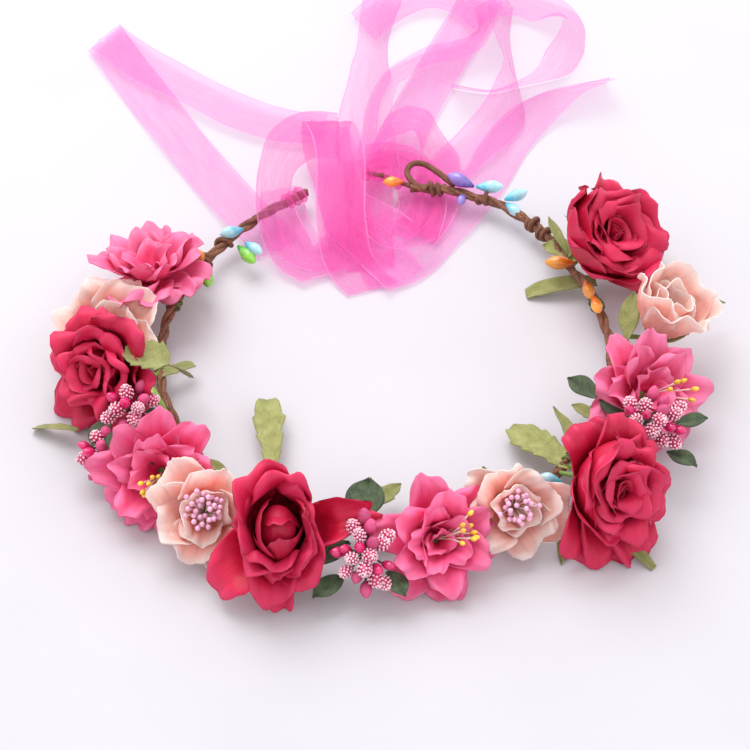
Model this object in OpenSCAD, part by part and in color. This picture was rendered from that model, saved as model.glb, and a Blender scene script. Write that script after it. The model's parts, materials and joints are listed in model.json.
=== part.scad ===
// Flower crown: a twisted paper-wrapped wire ring, open at the back, with fabric
// flowers, berry sprays and leaves round the front and sides and an organza ribbon
// that ties the two bare wire arms together.
// Origin: centre of the head opening, on the surface the crown lies on. Front is -Y.

/* [Head ring] */
// Radius of the ring's centreline, half of a head's width and its padding
ring_r = 91; // [85:1:97]
// Height of the ring's centreline above the table
vine_z = 9; // [8:0.5:10]
// Radius of the bundle of paper-wrapped strands
vine_r = 2.8; // [2:0.1:3]
// Radius of the steel wire inside the strands
wire_r = 0.8; // [0.5:0.1:1]

/* [Arms] */
// Angle where the left bare arm starts, counterclockwise from +X
left_start_a = 155; // [153:1:156]
// Radius of curvature of the left arm
left_arm_r = 130; // [120:5:150]
// Turn of the left arm from its start to its end
left_arm_turn = 33; // [28:1:34]
// Angle where the right bare arm starts, counterclockwise from +X
right_start_a = 33; // [32:1:35]
// Radius of curvature of the right arm
right_arm_r = 66; // [62:1:68]
// Turn of the right arm from its start to its end
right_arm_turn = 75; // [70:1:78]
// Bend of the wire where the right arm starts, in degrees
right_arm_kink = 16; // [12:1:18]
// Play between the ring's cut end and an arm
arm_gap = 1.6; // [1.4:0.1:2]
// Centreline radius of the hairpin eye at each arm's end
eye_r = 5; // [4:0.5:6]
// Radius of the single strand that makes the eye
eye_strand_r = 1.4; // [1:0.1:1.6]

/* [Flowers] */
// Radius of a rose's outer cup
rose_r = 19.5; // [17:0.5:20]
// Height of a rose's outer cup
rose_h = 23; // [20:1:24]
// Reach of a lily's lower petals
lily_r = 15; // [12:0.5:16]
// Reach of a peach blossom's petals
peach_r = 13.5; // [11:0.5:14]
// Radius of a berry
berry_r = 2.3; // [1.8:0.1:2.4]
// Length of a foam drop bud
bud_l = 10; // [8:0.5:11]

/* [Ribbon] */
// Width of the organza ribbon
ribbon_w = 21; // [18:1:26]
// Thickness of the ribbon with the air in its crinkles
ribbon_t = 0.6; // [0.4:0.1:0.8]
// Rise from one flat layer of ribbon to the next
layer = 1.2; // [1.1:0.1:1.2]

/* [Hidden] */
$fn = 40;

// Heads: [angle, radius, height, lean outward]
roses = [[192, 114, 24, 50], [249, 110, 25, 42], [315, 119, 25, 48], [27, 109, 26, 30]];
lilies = [[160, 104, 20, 22], [218, 111, 21, 45], [281, 106, 19, 45], [344, 107, 23, 40]];
peaches = [[174, 117, 18, 35], [233, 115, 19, 48], [298, 102, 20, 40], [5, 115, 27, 45]];
sprays = [[204, 117, 12, 45], [266, 109, 11, 40], [332, 115, 27, 55]];

// Leaves: [x, y, z, heading, length, width], each a flat blade
leaves_at_left = [[-92, -3, 4, 20, 19, 9], [-86, -12, 3, 8, 16, 5], [-124, -54, 2, 195, 15, 6]];
leaves_at_front = [[-46, -72, 3, 95, 34, 12], [-8, -84, 3, 35, 17, 7]];
leaves_at_right = [[76, -63, 4, 140, 30, 14], [80, -56, 3, 118, 24, 7], [97, -108, 2, 300, 14, 7]];
leaves_at_back = [[80, 28, 3, 170, 28, 7]];

// Drop buds: [x, y, z, heading]
buds_on_ring = [[87, 17, 15, 70], [84, 26, 15, 120], [73, -50, 12, 180]];
buds_on_left = [[-78, 47, 16, 70], [-66, 52, 14, 25], [-58, 72, 14, 150], [-55, 59, 14, 300]];
buds_on_right = [[46, 97, 14, 175], [33, 103, 14, 200], [57, 86, 14, 150], [20, 92, 14, 185]];

// Angles where green floral tape binds a stem to the ring
tape_at = [162, 185, 210, 240, 257, 290, 322, 351, 17];
tape_w = 6;
tape_t = 0.5;
// Clearance between a sleeve and what it is wrapped round
fit = 0.15;
knot_w = 9;
knot_t = 1.3;
// How deep an eye's strand is sunk in the arm that it is welded to
eye_bite = 1.2;

// Angles on the arms: their knots, ribbon wraps and eyes
left_knot_a = 148;
left_wrap_a = 133;
left_eye_a = 125;
right_knot_a = 42;
right_wrap_a = 72;
right_eye_a = 86;

// Flat ribbon runs: [start, end, layer]
left_tail = [[-62, 100], [-130, 206], 0];
left_return = [[-124, 200], [-32, 146], 1];
right_tail = [[36, 78], [98, 166], 1];
rise = [[-16, 132], [-2, 214], 2];
top_arc = [[-2, 216], [52, 208], 1];
diagonal = [[30, 224], [10, 132], 3];
upright = [[52, 218], [44, 122], 0];
right_loop = [[54, 218], [92, 206], 2];
right_loop_return = [[88, 196], [36, 172], 4];

// Ribbon folds that stand up: [left edge, width, [y, z] points]
strap_front = [-29, 20, [[48, 2], [70, 20], [98, 24]]];
strap_rear = [-29, 20, [[98.5, 24], [116, 22], [128, 4]]];
bow_front = [-50, 18, [[56, 1], [66, 16], [92, 19]]];
bow_rear = [-50, 18, [[92.5, 19], [116, 16], [126, 3]]];
swirl_front = [-2, 21, [[58, 2], [72, 18], [96, 22]]];
swirl_rear = [-2, 21, [[96.5, 22], [114, 20], [124, 6]]];

// Centre, inner radius and turn of the ribbon's curved front sweep
sweep_centre = [-4, 86];
sweep_r = 17;
sweep_from_a = 195;
sweep_turn = 140;

function on_circle(r, a) = [r * cos(a), r * sin(a)];
left_hinge = on_circle(ring_r, left_start_a);
right_hinge = on_circle(ring_r, right_start_a);
left_centre = left_hinge - on_circle(left_arm_r, left_start_a);
right_centre = right_hinge - on_circle(right_arm_r, right_start_a - right_arm_kink);
left_end_a = left_start_a - left_arm_turn;
right_end_a = right_start_a - right_arm_kink + right_arm_turn;
ring_gap_a = arm_gap / 2 / ring_r * 180 / PI;
left_gap_a = arm_gap / 2 / left_arm_r * 180 / PI;
right_gap_a = arm_gap / 2 / right_arm_r * 180 / PI;

/* ---- wire and vine ---- */

// A piece of round bar bent along an arc, hollow when inner is above 0
module bent_bar(centre, r, from_a, turn, outer, inner = 0) {
  translate([centre[0], centre[1], vine_z])
    rotate([0, 0, from_a])
      rotate_extrude(angle = turn, $fn = 120)
        translate([r, 0])
          difference() {
            circle(outer, $fn = 24);
            if (inner > 0) circle(inner, $fn = 24);
          }
}

module ring_arc(outer, inner = 0) {
  bent_bar([0, 0], ring_r, left_start_a + ring_gap_a,
           360 - left_start_a + right_start_a - 2 * ring_gap_a, outer, inner);
}

module left_arc(outer, inner = 0) {
  bent_bar(left_centre, left_arm_r, left_end_a, left_arm_turn - left_gap_a, outer, inner);
}

module right_arc(outer, inner = 0) {
  bent_bar(right_centre, right_arm_r, right_end_a - right_arm_turn + right_gap_a,
           right_arm_turn - right_gap_a, outer, inner);
}

// The hairpin eye beyond an arm's end, welded to the strands' outer side
module end_eye(centre, r, a) {
  reach = r + vine_r + eye_r + eye_strand_r - eye_bite;
  translate([centre[0] + reach * cos(a), centre[1] + reach * sin(a), vine_z])
    rotate_extrude() translate([eye_r, 0]) circle(eye_strand_r, $fn = 20);
}

// A wrapped band round an arc, clear of the strands by the fit
module band(centre, r, a, w, t) {
  turn = w / r * 180 / PI;
  bent_bar(centre, r, a - turn / 2, turn, vine_r + fit + t, vine_r + fit);
}

module ring_wire_core() { color("silver") ring_arc(wire_r); }
module ring_vine_strands() { color("sienna") ring_arc(vine_r, wire_r + fit); }
module left_arm_wire_core() { color("silver") left_arc(wire_r); }
module right_arm_wire_core() { color("silver") right_arc(wire_r); }

module left_arm_strands() {
  color("sienna") {
    left_arc(vine_r, wire_r + fit);
    end_eye(left_centre, left_arm_r, left_eye_a);
  }
}

module right_arm_strands() {
  color("sienna") {
    right_arc(vine_r, wire_r + fit);
    end_eye(right_centre, right_arm_r, right_eye_a);
  }
}

module floral_tape_wraps() {
  color("olivedrab")
    for (a = tape_at)
      band([0, 0], ring_r, a, tape_w, tape_t);
}

// A thicker turn of the strands, or the ribbon's end wound round the vine
module arm_wrap(centre, r, a, shade) {
  color(shade) band(centre, r, a, knot_w, knot_t);
}

module left_arm_knot() { arm_wrap(left_centre, left_arm_r, left_knot_a, "saddlebrown"); }
module right_arm_knot() { arm_wrap(right_centre, right_arm_r, right_knot_a, "saddlebrown"); }
module left_arm_ribbon_wrap() { arm_wrap(left_centre, left_arm_r, left_wrap_a, "hotpink"); }
module right_arm_ribbon_wrap() { arm_wrap(right_centre, right_arm_r, right_wrap_a, "hotpink"); }

/* ---- flower heads ---- */

// Places a head: its axis leans outward from straight up
module at_head(f) {
  rotate([0, 0, f[0]])
    translate([f[1], 0, f[2]])
      rotate([0, f[3], 0])
        children();
}

// The cup of a rose's outer petals, open at the top for the heart
module rose_petals(f) {
  h = rose_h / 2;
  color("crimson")
    at_head(f)
      rotate_extrude()
        polygon([[0, -h], [8, -h + 1], [15, -h + 6], [rose_r, -1], [rose_r, h - 4],
                 [rose_r - 2, h - 2], [rose_r - 3, h - 5], [rose_r - 4, 0],
                 [12, -h + 8], [6, -h + 4], [0, -h + 3]]);
}

// The rolled petals inside the cup
module rose_heart(f) {
  h = rose_h / 2;
  color("firebrick")
    at_head(f)
      rotate_extrude()
        polygon([[0, -h + 3.4], [5, -h + 4.4], [10, -h + 8], [13, 0], [13, 4], [10, h - 2],
                 [6, h], [4, h - 1], [2, h - 5], [0, h - 5]]);
}

// A flat layer of pointed petals
module star(n, reach, waist, t) {
  linear_extrude(t)
    polygon([for (i = [0:2 * n - 1]) on_circle(i % 2 == 0 ? reach : waist, i * 180 / n)]);
}

// A flat layer of round-ended ruffled petals
module lobes(n, reach, t) {
  linear_extrude(t)
    polygon([for (i = [0:6 * n - 1]) on_circle(reach * (0.86 + 0.14 * cos(i * 60)), i * 60 / n)]);
}

module lily_petals(f) {
  color("deeppink")
    at_head(f) {
      translate([0, 0, -3]) star(6, lily_r, lily_r * 0.55, 1.2);
      rotate([0, 0, 30]) translate([0, 0, 0.5]) star(6, lily_r * 0.8, lily_r * 0.4, 1.2);
      translate([0, 0, -5]) cylinder(h = 7, r = 3.5);
    }
}

module peach_petals(f) {
  color("lightsalmon")
    at_head(f) {
      translate([0, 0, -3]) lobes(5, peach_r, 1.2);
      rotate([0, 0, 36]) translate([0, 0, 0.5]) lobes(5, peach_r * 0.75, 1.2);
      translate([0, 0, -5]) cylinder(h = 7, r = 3.5);
    }
}

// A ring of filaments, each with a bead at its tip
module stamens(f, n, l) {
  at_head(f)
    for (i = [0:n - 1])
      rotate([0, 0, i * 360 / n])
        translate([2.2, 0, 2]) {
          cylinder(h = l, r = 0.4, $fn = 16);
          translate([0, 0, l]) sphere(0.9, $fn = 16);
        }
}

module lily_stamens() { color("gold") for (f = lilies) stamens(f, 6, 8); }
module peach_stamens() { color("orchid") for (f = peaches) stamens(f, 7, 5); }

// A green cup under a head, and the wire stem from it to the ring
module calyx(f, below, cup_r, cup_h) {
  drop = below + cup_h;
  top = [f[1] - drop * sin(f[3]), f[2] - drop * cos(f[3])];
  foot = [ring_r + vine_r + tape_t + 2 * fit + 0.5, vine_z];
  run = top - foot;
  at_head(f) translate([0, 0, -drop]) cylinder(h = cup_h - fit, r1 = 1.2, r2 = cup_r);
  rotate([0, 0, f[0]])
    translate([foot[0], 0, foot[1]])
      rotate([0, atan2(run[0], run[1]), 0])
        cylinder(h = norm(run) + 0.6, r = 0.8, $fn = 16);
}

module rose_calyxes() { color("darkolivegreen") for (f = roses) calyx(f, rose_h / 2, 6, 3); }
module lily_calyxes() { color("darkolivegreen") for (f = lilies) calyx(f, 5, 3, 2.5); }
module peach_calyxes() { color("darkolivegreen") for (f = peaches) calyx(f, 5, 3.4, 2.5); }

/* ---- berries, leaves and buds ---- */

// Rings of berries on a low dome: [count, radius, height]
berry_rings = [[1, 0, 4], [5, 5.6, 2], [8, 9.4, -2.4]];

module berries(f) {
  color("mediumvioletred")
    at_head(f)
      for (ring = berry_rings)
        for (i = [0:ring[0] - 1])
          rotate([0, 0, i * 360 / ring[0]])
            translate([ring[1], 0, ring[2]])
              sphere(berry_r, $fn = 20);
}

module berry_spray_stems() {
  color("darkslategray")
    for (f = sprays)
      calyx(f, 2.5, 2.2, 3);
}

// One flat leaf blade that starts at the origin and runs along +X
module leaf(l, w) {
  linear_extrude(0.6)
    polygon([for (i = [0:12]) [l * i / 12, w / 2 * sin(180 * pow(i / 12, 0.8))],
             for (i = [11:-1:1]) [l * i / 12, -w / 2 * sin(180 * pow(i / 12, 0.8))]]);
}

module leaves(places) {
  color("darkkhaki")
    for (p = places)
      translate([p[0], p[1], p[2]])
        rotate([0, 0, p[3]])
          leaf(p[4], p[5]);
}

// A foam drop: a round end that narrows to a point
module drop_bud() {
  rotate([0, 90, 0])
    rotate_extrude($fn = 24)
      polygon([[0, 0], [1.0, 1], [1.9, bud_l * 0.45], [2, bud_l * 0.65],
               [1.5, bud_l * 0.88], [0, bud_l]]);
}

module drop_buds(places, shade) {
  color(shade)
    for (p = places)
      translate([p[0], p[1], p[2]])
        rotate([0, 0, p[3]])
          drop_bud();
}

/* ---- ribbon ---- */

// A flat run of ribbon from a to b, level above the table
module strip(a, b, level) {
  run = b - a;
  translate([a[0], a[1], level * layer])
    rotate([0, 0, atan2(run[1], run[0])])
      translate([0, -ribbon_w / 2, 0])
        cube([norm(run), ribbon_w, ribbon_t]);
}

// A run of ribbon that climbs and falls along Y: path holds [y, z] points, w is its width in X
module arch(x, path, w) {
  n = len(path);
  translate([x, 0, 0])
    rotate([90, 0, 90])
      linear_extrude(w)
        polygon(concat(path, [for (i = [n - 1:-1:0]) path[i] + [0, ribbon_t]]));
}

module ribbon_front_sweep() {
  color("violet")
    translate([sweep_centre[0], sweep_centre[1], 0])
      rotate([0, 0, sweep_from_a])
        rotate_extrude(angle = sweep_turn, $fn = 90)
          translate([sweep_r, 0]) square([ribbon_w, ribbon_t]);
}

module ribbon_run(run) { color("violet") strip(run[0], run[1], run[2]); }
module ribbon_fold(fold) { color("hotpink") arch(fold[0], fold[2], fold[1]); }

/* ---- the assembly ---- */

ring_wire_core();
ring_vine_strands();
floral_tape_wraps();
rose_petals(roses[0]);  // rose_left_petals
rose_petals(roses[1]);  // rose_front_left_petals
rose_petals(roses[2]);  // rose_front_right_petals
rose_petals(roses[3]);  // rose_back_right_petals
rose_heart(roses[0]);  // rose_left_heart
rose_heart(roses[1]);  // rose_front_left_heart
rose_heart(roses[2]);  // rose_front_right_heart
rose_heart(roses[3]);  // rose_back_right_heart
rose_calyxes();
lily_petals(lilies[0]);  // lily_left_petals
lily_petals(lilies[1]);  // lily_front_left_petals
lily_petals(lilies[2]);  // lily_front_petals
lily_petals(lilies[3]);  // lily_right_petals
lily_stamens();
lily_calyxes();
peach_petals(peaches[0]);  // peach_left_petals
peach_petals(peaches[1]);  // peach_front_left_petals
peach_petals(peaches[2]);  // peach_front_right_petals
peach_petals(peaches[3]);  // peach_right_petals
peach_stamens();
peach_calyxes();
berries(sprays[0]);  // berries_left
berries(sprays[1]);  // berries_front
berries(sprays[2]);  // berries_right
berry_spray_stems();
leaves(leaves_at_left);  // leaves_left
leaves(leaves_at_front);  // leaves_front
leaves(leaves_at_right);  // leaves_right
leaves(leaves_at_back);  // leaves_back
drop_buds(buds_on_ring, "orange");  // drop_buds_ring
left_arm_wire_core();
left_arm_strands();
left_arm_knot();
left_arm_ribbon_wrap();
drop_buds(buds_on_left, "limegreen");  // drop_buds_left
right_arm_wire_core();
right_arm_strands();
right_arm_knot();
right_arm_ribbon_wrap();
drop_buds(buds_on_right, "lightblue");  // drop_buds_right
ribbon_run(left_tail);  // ribbon_left_tail
ribbon_run(left_return);  // ribbon_left_return
ribbon_front_sweep();
ribbon_run(right_tail);  // ribbon_right_tail
ribbon_run(rise);  // ribbon_rise
ribbon_run(top_arc);  // ribbon_top_arc
ribbon_run(diagonal);  // ribbon_diagonal
ribbon_run(upright);  // ribbon_upright
ribbon_run(right_loop);  // ribbon_right_loop
ribbon_run(right_loop_return);  // ribbon_right_loop_return
ribbon_fold(strap_front);  // ribbon_strap_front
ribbon_fold(strap_rear);  // ribbon_strap_rear
ribbon_fold(bow_front);  // ribbon_bow_front
ribbon_fold(bow_rear);  // ribbon_bow_rear
ribbon_fold(swirl_front);  // ribbon_swirl_front
ribbon_fold(swirl_rear);  // ribbon_swirl_rear
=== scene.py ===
import json
import math
import random

import bpy
import numpy as np
from mathutils import Matrix, Vector, noise


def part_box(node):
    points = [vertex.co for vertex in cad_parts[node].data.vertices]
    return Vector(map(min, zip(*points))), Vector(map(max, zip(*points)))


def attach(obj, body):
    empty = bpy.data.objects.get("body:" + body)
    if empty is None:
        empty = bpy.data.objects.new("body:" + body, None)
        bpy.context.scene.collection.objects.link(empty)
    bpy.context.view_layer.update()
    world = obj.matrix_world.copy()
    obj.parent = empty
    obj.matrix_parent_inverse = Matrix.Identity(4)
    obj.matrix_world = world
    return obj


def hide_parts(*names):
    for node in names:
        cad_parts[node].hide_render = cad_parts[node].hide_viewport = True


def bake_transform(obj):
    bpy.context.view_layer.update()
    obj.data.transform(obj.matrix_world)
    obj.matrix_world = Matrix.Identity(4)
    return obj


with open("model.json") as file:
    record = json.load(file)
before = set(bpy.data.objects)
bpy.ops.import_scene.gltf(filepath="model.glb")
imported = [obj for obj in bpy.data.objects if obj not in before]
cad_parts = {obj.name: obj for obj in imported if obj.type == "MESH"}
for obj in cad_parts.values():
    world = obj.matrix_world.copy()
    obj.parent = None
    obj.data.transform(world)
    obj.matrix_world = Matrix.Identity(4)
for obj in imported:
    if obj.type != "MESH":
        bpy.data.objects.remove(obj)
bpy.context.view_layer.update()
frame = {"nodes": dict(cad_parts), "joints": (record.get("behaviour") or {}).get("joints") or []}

# A flower crown lying on a table: fabric flowers, berries and leaves on a ring of paper-wrapped
# vine, two bare arms behind, and a sheer ribbon. Lengths below are millimetres unless a name says
# otherwise, and MM turns them into Blender's metres.
MM = 0.001
TAU = 2 * math.pi
HALF_PI = math.pi / 2

# ================================================================ small tools


def srgb(code):
    """A colour written #rrggbb, as the linear colour that a shader takes."""
    parts = [int(code[i:i + 2], 16) / 255 for i in (1, 3, 5)]
    linear = [p / 12.92 if p <= 0.04045 else ((p + 0.055) / 1.055) ** 2.4 for p in parts]
    return (*linear, 1.0)


def smooth(low, high, x):
    """0 below low, 1 above high and an S curve between them."""
    t = np.clip((np.asarray(x, float) - low) / (high - low), 0, 1)
    return t * t * (3 - 2 * t)


def eased(x, values):
    """Values spread evenly over 0 to 1, read at x along a smooth curve through them."""
    values = np.asarray(values, float)
    last = len(values) - 1
    place = np.clip(np.asarray(x, float), 0, 1) * last
    k = np.minimum(place.astype(int), last - 1)
    f = place - k
    if values.ndim > 1:
        f = f[..., None]
    before, start, end, after = (values[np.clip(k + i, 0, last)] for i in (-1, 0, 1, 2))
    return start + 0.5 * f * (end - before + f * (
        2 * before - 5 * start + 4 * end - after + f * (3 * (start - end) + after - before)))


def unit(v):
    v = np.asarray(v, float)
    return v / np.maximum(np.linalg.norm(v, axis=-1, keepdims=True), 1e-9)


def facing(axis, spin=0.0):
    """A 3 x 3 turn whose +Z is axis and whose +X is level, then turned about axis by spin degrees."""
    z = Vector(axis).normalized()
    x = Vector((1, 0, 0))
    x = (x - z * x.dot(z)).normalized() if abs(z.x) < 0.98 else Vector((0, 1, 0))
    turn = Matrix((x, z.cross(x), z)).transposed()
    return np.array(turn @ Matrix.Rotation(math.radians(spin), 3, "Z"))


def wander(points, scale, amount, seed):
    """Moves points by smooth noise whose bumps are scale wide."""
    shift = Vector((seed * 7.31, seed * 3.17, seed * 5.93))
    flat = points.reshape(-1, 3)
    moved = [noise.noise_vector(Vector(p) / scale + shift) for p in flat]
    return points + amount * np.array(moved).reshape(points.shape)


# ================================================================ meshes


class Cloth:
    """Gathers patches of points in millimetres, and makes one mesh object of them."""

    def __init__(self):
        self.points, self.faces, self.uv, self.tint = [], [], [], []
        self.count = 0

    def patch(self, points, tint=None, around=False, caps=False, uv=None):
        """A grid of points [row][column]; around joins the last column to the first."""
        rows, cols = points.shape[:2]
        t, v = np.meshgrid(np.linspace(0, 1, rows), np.linspace(0, 1, cols), indexing="ij")
        if tint is None:
            tint = np.stack([t, np.zeros_like(t), np.zeros_like(t)], -1)
        if uv is None:
            uv = np.stack([v, t], -1)
        start = self.count
        for r in range(rows - 1):
            for c in range(cols if around else cols - 1):
                a = start + r * cols + c
                b = start + r * cols + (c + 1) % cols
                self.faces.append((a, b, b + cols, a + cols))
        self._keep(points, uv, tint)
        if caps:
            for row in (0, rows - 1):
                ring = [start + row * cols + c for c in range(cols)]
                middle = self.count
                self._keep(points[row:row + 1].mean(1, keepdims=True), uv[row:row + 1, :1],
                           tint[row:row + 1, :1])
                for c in range(cols):
                    pair = (ring[c], ring[(c + 1) % cols])
                    self.faces.append((*(pair if row else pair[::-1]), middle))

    def _keep(self, points, uv, tint):
        self.points.append(points.reshape(-1, 3))
        self.uv.append(uv.reshape(-1, 2))
        self.tint.append(tint.reshape(-1, 3))
        self.count += points.shape[0] * points.shape[1]

    def make(self, name, material, thickness=0.0, rim=None):
        """The gathered patches as one object, thickened by thickness; rim finishes the cut edges."""
        mesh = bpy.data.meshes.new(name)
        points, uv, tint = (np.concatenate(x) for x in (self.points, self.uv, self.tint))
        mesh.from_pydata((points * MM).tolist(), [], self.faces)
        corner = np.zeros(len(mesh.loops), int)
        mesh.loops.foreach_get("vertex_index", corner)
        layer = mesh.uv_layers.new(name="UVMap")
        layer.data.foreach_set("uv", uv[corner].ravel())
        colour = mesh.color_attributes.new("tint", "FLOAT_COLOR", "POINT")
        rgba = np.concatenate([tint, np.ones((len(tint), 1))], 1)
        colour.data.foreach_set("color", rgba.ravel())
        mesh.polygons.foreach_set("use_smooth", np.ones(len(mesh.polygons), bool))
        mesh.materials.append(material)
        obj = bpy.data.objects.new(name, mesh)
        bpy.context.scene.collection.objects.link(obj)
        if thickness:
            solid = obj.modifiers.new("thickness", "SOLIDIFY")
            solid.thickness = thickness * MM
            solid.offset = 0
            if rim:
                mesh.materials.append(rim)
                solid.material_offset_rim = 1
        return obj


def frames(path):
    """Two directions across a path at each of its points, which don't twist along it."""
    along = unit(np.gradient(path, axis=0))
    side = np.zeros_like(path)
    first = np.cross(along[0], (0, 0, 1))
    side[0] = unit(first if np.linalg.norm(first) > 0.1 else np.cross(along[0], (1, 0, 0)))
    for i in range(1, len(path)):
        side[i] = unit(side[i - 1] - along[i] * (side[i - 1] @ along[i]))
    return side, np.cross(along, side)


def tube(cloth, path, radius, sides=8, shade=0.0, caps=True):
    """A round tube along path. radius is one number, or one for each point."""
    path = np.asarray(path, float)
    radius = np.broadcast_to(np.asarray(radius, float), (len(path),))
    side, up = frames(path)
    angle = np.linspace(0, TAU, sides, endpoint=False)
    ring = (np.cos(angle)[None, :, None] * side[:, None] + np.sin(angle)[None, :, None] * up[:, None])
    points = path[:, None] + ring * radius[:, None, None]
    tint = np.zeros((*points.shape[:2], 3))
    tint[..., 0] = np.linspace(0, 1, len(path))[:, None]
    tint[..., 2] = shade
    cloth.patch(points, tint, around=True, caps=caps)


def lathe(cloth, profile, place, turn=np.eye(3), sides=14, shade=0.0, squeeze=1.0):
    """Turns a (radius, height) profile about +Z, then turns it by turn and moves it to place."""
    profile = np.asarray(profile, float)
    angle = np.linspace(0, TAU, sides, endpoint=False)
    r, z = profile[:, 0, None], profile[:, 1, None]
    points = np.stack([r * np.cos(angle), squeeze * r * np.sin(angle), z + 0 * angle], -1)
    tint = np.zeros((*points.shape[:2], 3))
    tint[..., 0] = np.linspace(0, 1, len(profile))[:, None]
    tint[..., 2] = shade
    cloth.patch(points @ turn.T + np.asarray(place, float), tint, around=True, caps=True)


def egg(length, radius, steps=9, point=0.0):
    """The profile of an egg that stands on z = 0; point draws its foot out."""
    t = np.linspace(0.02, 0.98, steps)
    r = radius * np.sin(math.pi * t ** (1 + point)) ** (0.62 + 0.5 * point)
    return np.stack([r, length * t], -1)


def bent(points, steps=12):
    """A smooth line through a few points."""
    return eased(np.linspace(0, 1, steps), points)


# ================================================================ materials


class Shader:
    """A material whose nodes are added by short calls."""

    def __init__(self, name):
        self.material = bpy.data.materials.new(name)
        self.material.use_nodes = True
        self.tree = self.material.node_tree
        self.tree.nodes.clear()

    def add(self, kind, inputs=None, **settings):
        node = self.tree.nodes.new("ShaderNode" + kind)
        for key, value in settings.items():
            setattr(node, key, value)
        for key, value in (inputs or {}).items():
            if isinstance(value, bpy.types.NodeSocket):
                self.tree.links.new(value, node.inputs[key])
            else:
                node.inputs[key].default_value = value
        return node

    def surface(self, shader):
        self.add("OutputMaterial", {"Surface": shader})
        return self.material

    def tint(self):
        """Where a point is on its petal: along it, how near the edge, and a number per petal."""
        attribute = self.add("Attribute", attribute_name="tint")
        parts = self.add("SeparateColor", {"Color": attribute.outputs["Color"]}).outputs
        return parts["Red"], parts["Green"], parts["Blue"]

    def noise(self, scale, detail=3.0, stretch=None, where="Object", roughness=0.5):
        """Noise over the object's metres, or over its UV map stretched by stretch."""
        vector = self.add("TexCoord").outputs[where]
        if stretch:
            vector = self.add("Mapping", {"Vector": vector, "Scale": stretch}).outputs["Vector"]
        return self.add("TexNoise", {"Vector": vector, "Scale": scale, "Detail": detail,
                                     "Roughness": roughness}).outputs["Fac"]

    def ramp(self, fac, stops):
        node = self.add("ValToRGB", {"Fac": fac})
        elements = node.color_ramp.elements
        while len(elements) < len(stops):
            elements.new(0.5)
        for element, (place, colour) in zip(elements, stops):
            element.position = place
            element.color = colour
        return node.outputs["Color"]

    def mix(self, fac, a, b, blend="MIX"):
        node = self.add("Mix", data_type="RGBA", blend_type=blend)
        for index, value in ((0, fac), (6, a), (7, b)):
            if isinstance(value, bpy.types.NodeSocket):
                self.tree.links.new(value, node.inputs[index])
            else:
                node.inputs[index].default_value = value
        return node.outputs[2]

    def math(self, operation, *values):
        return self.add("Math", dict(enumerate(values)), operation=operation).outputs[0]

    def spread(self, fac, low, high, to_low=0.0, to_high=1.0):
        return self.add("MapRange", {"Value": fac, "From Min": low, "From Max": high,
                                     "To Min": to_low, "To Max": to_high}).outputs["Result"]

    def bump(self, height, strength, distance_mm):
        return self.add("Bump", {"Height": height, "Strength": strength,
                                 "Distance": distance_mm * MM}).outputs["Normal"]

    def coloured(self, colour, fac, amount):
        """colour made lighter and darker by fac, whose middle leaves it alone."""
        value = self.spread(fac, 0.3, 0.7, 1 - amount, 1 + amount)
        return self.add("HueSaturation", {"Color": colour, "Value": value}).outputs["Color"]


def petal_cloth(name, base, middle, rim, edge, sheen, roughness=0.5, sheen_weight=0.2, see=0.12,
                edge_tone=0.5):
    """Dyed satin, darker at the petal's foot, partly dye and partly painted shade deep in the flower, lighter to its
    rim, partly painted light on the lit rims, and edge_tone of edge at its border.
    """
    s = Shader(name)
    along, near_edge, own = s.tint()
    streaks = s.noise(1.0, 4, stretch=(24, 2.0, 1), where="UV")
    blotches = s.noise(95, 3)
    height = s.math("ADD", along, s.spread(blotches, 0.3, 0.7, -0.12, 0.12))
    # Painted shade and light: base at the foot stands partly for shade in the flower, rim partly for light on the lit
    # rims
    colour = s.ramp(height, [(0.0, srgb(base)), (0.4, srgb(middle)), (0.95, srgb(rim))])
    colour = s.coloured(colour, streaks, 0.07)
    colour = s.coloured(colour, s.spread(own, 0, 1, 0.3, 0.7), 0.10)
    colour = s.mix(s.spread(near_edge, 0.80, 1.0, 0, edge_tone), colour, srgb(edge))
    weave = s.noise(2300, 2)
    grain = s.math("ADD", s.math("MULTIPLY", streaks, 0.8), s.math("MULTIPLY", weave, 0.35))
    normal = s.bump(grain, 0.3, 0.45)
    cloth = s.add("BsdfPrincipled", {
        "Base Color": colour, "Roughness": s.spread(blotches, 0.3, 0.7, roughness - 0.06, roughness + 0.08),
        "Specular IOR Level": 0.35, "Sheen Weight": sheen_weight, "Sheen Roughness": 0.3,
        "Sheen Tint": srgb(sheen), "Normal": normal})
    glow = s.add("BsdfTranslucent", {"Color": colour, "Normal": normal})
    return s.surface(s.add("MixShader", {0: see, 1: cloth.outputs[0], 2: glow.outputs[0]}).outputs[0])


def cut_edge(name, dark, light):
    """The scorched or frayed cut of a petal."""
    s = Shader(name)
    colour = s.mix(s.spread(s.noise(900, 3), 0.35, 0.65), srgb(dark), srgb(light))
    thread = s.add("BsdfPrincipled", {"Base Color": colour, "Roughness": 0.7,
                                      "Normal": s.bump(s.noise(2600, 2), 0.4, 0.2)})
    return s.surface(thread.outputs[0])


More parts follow.
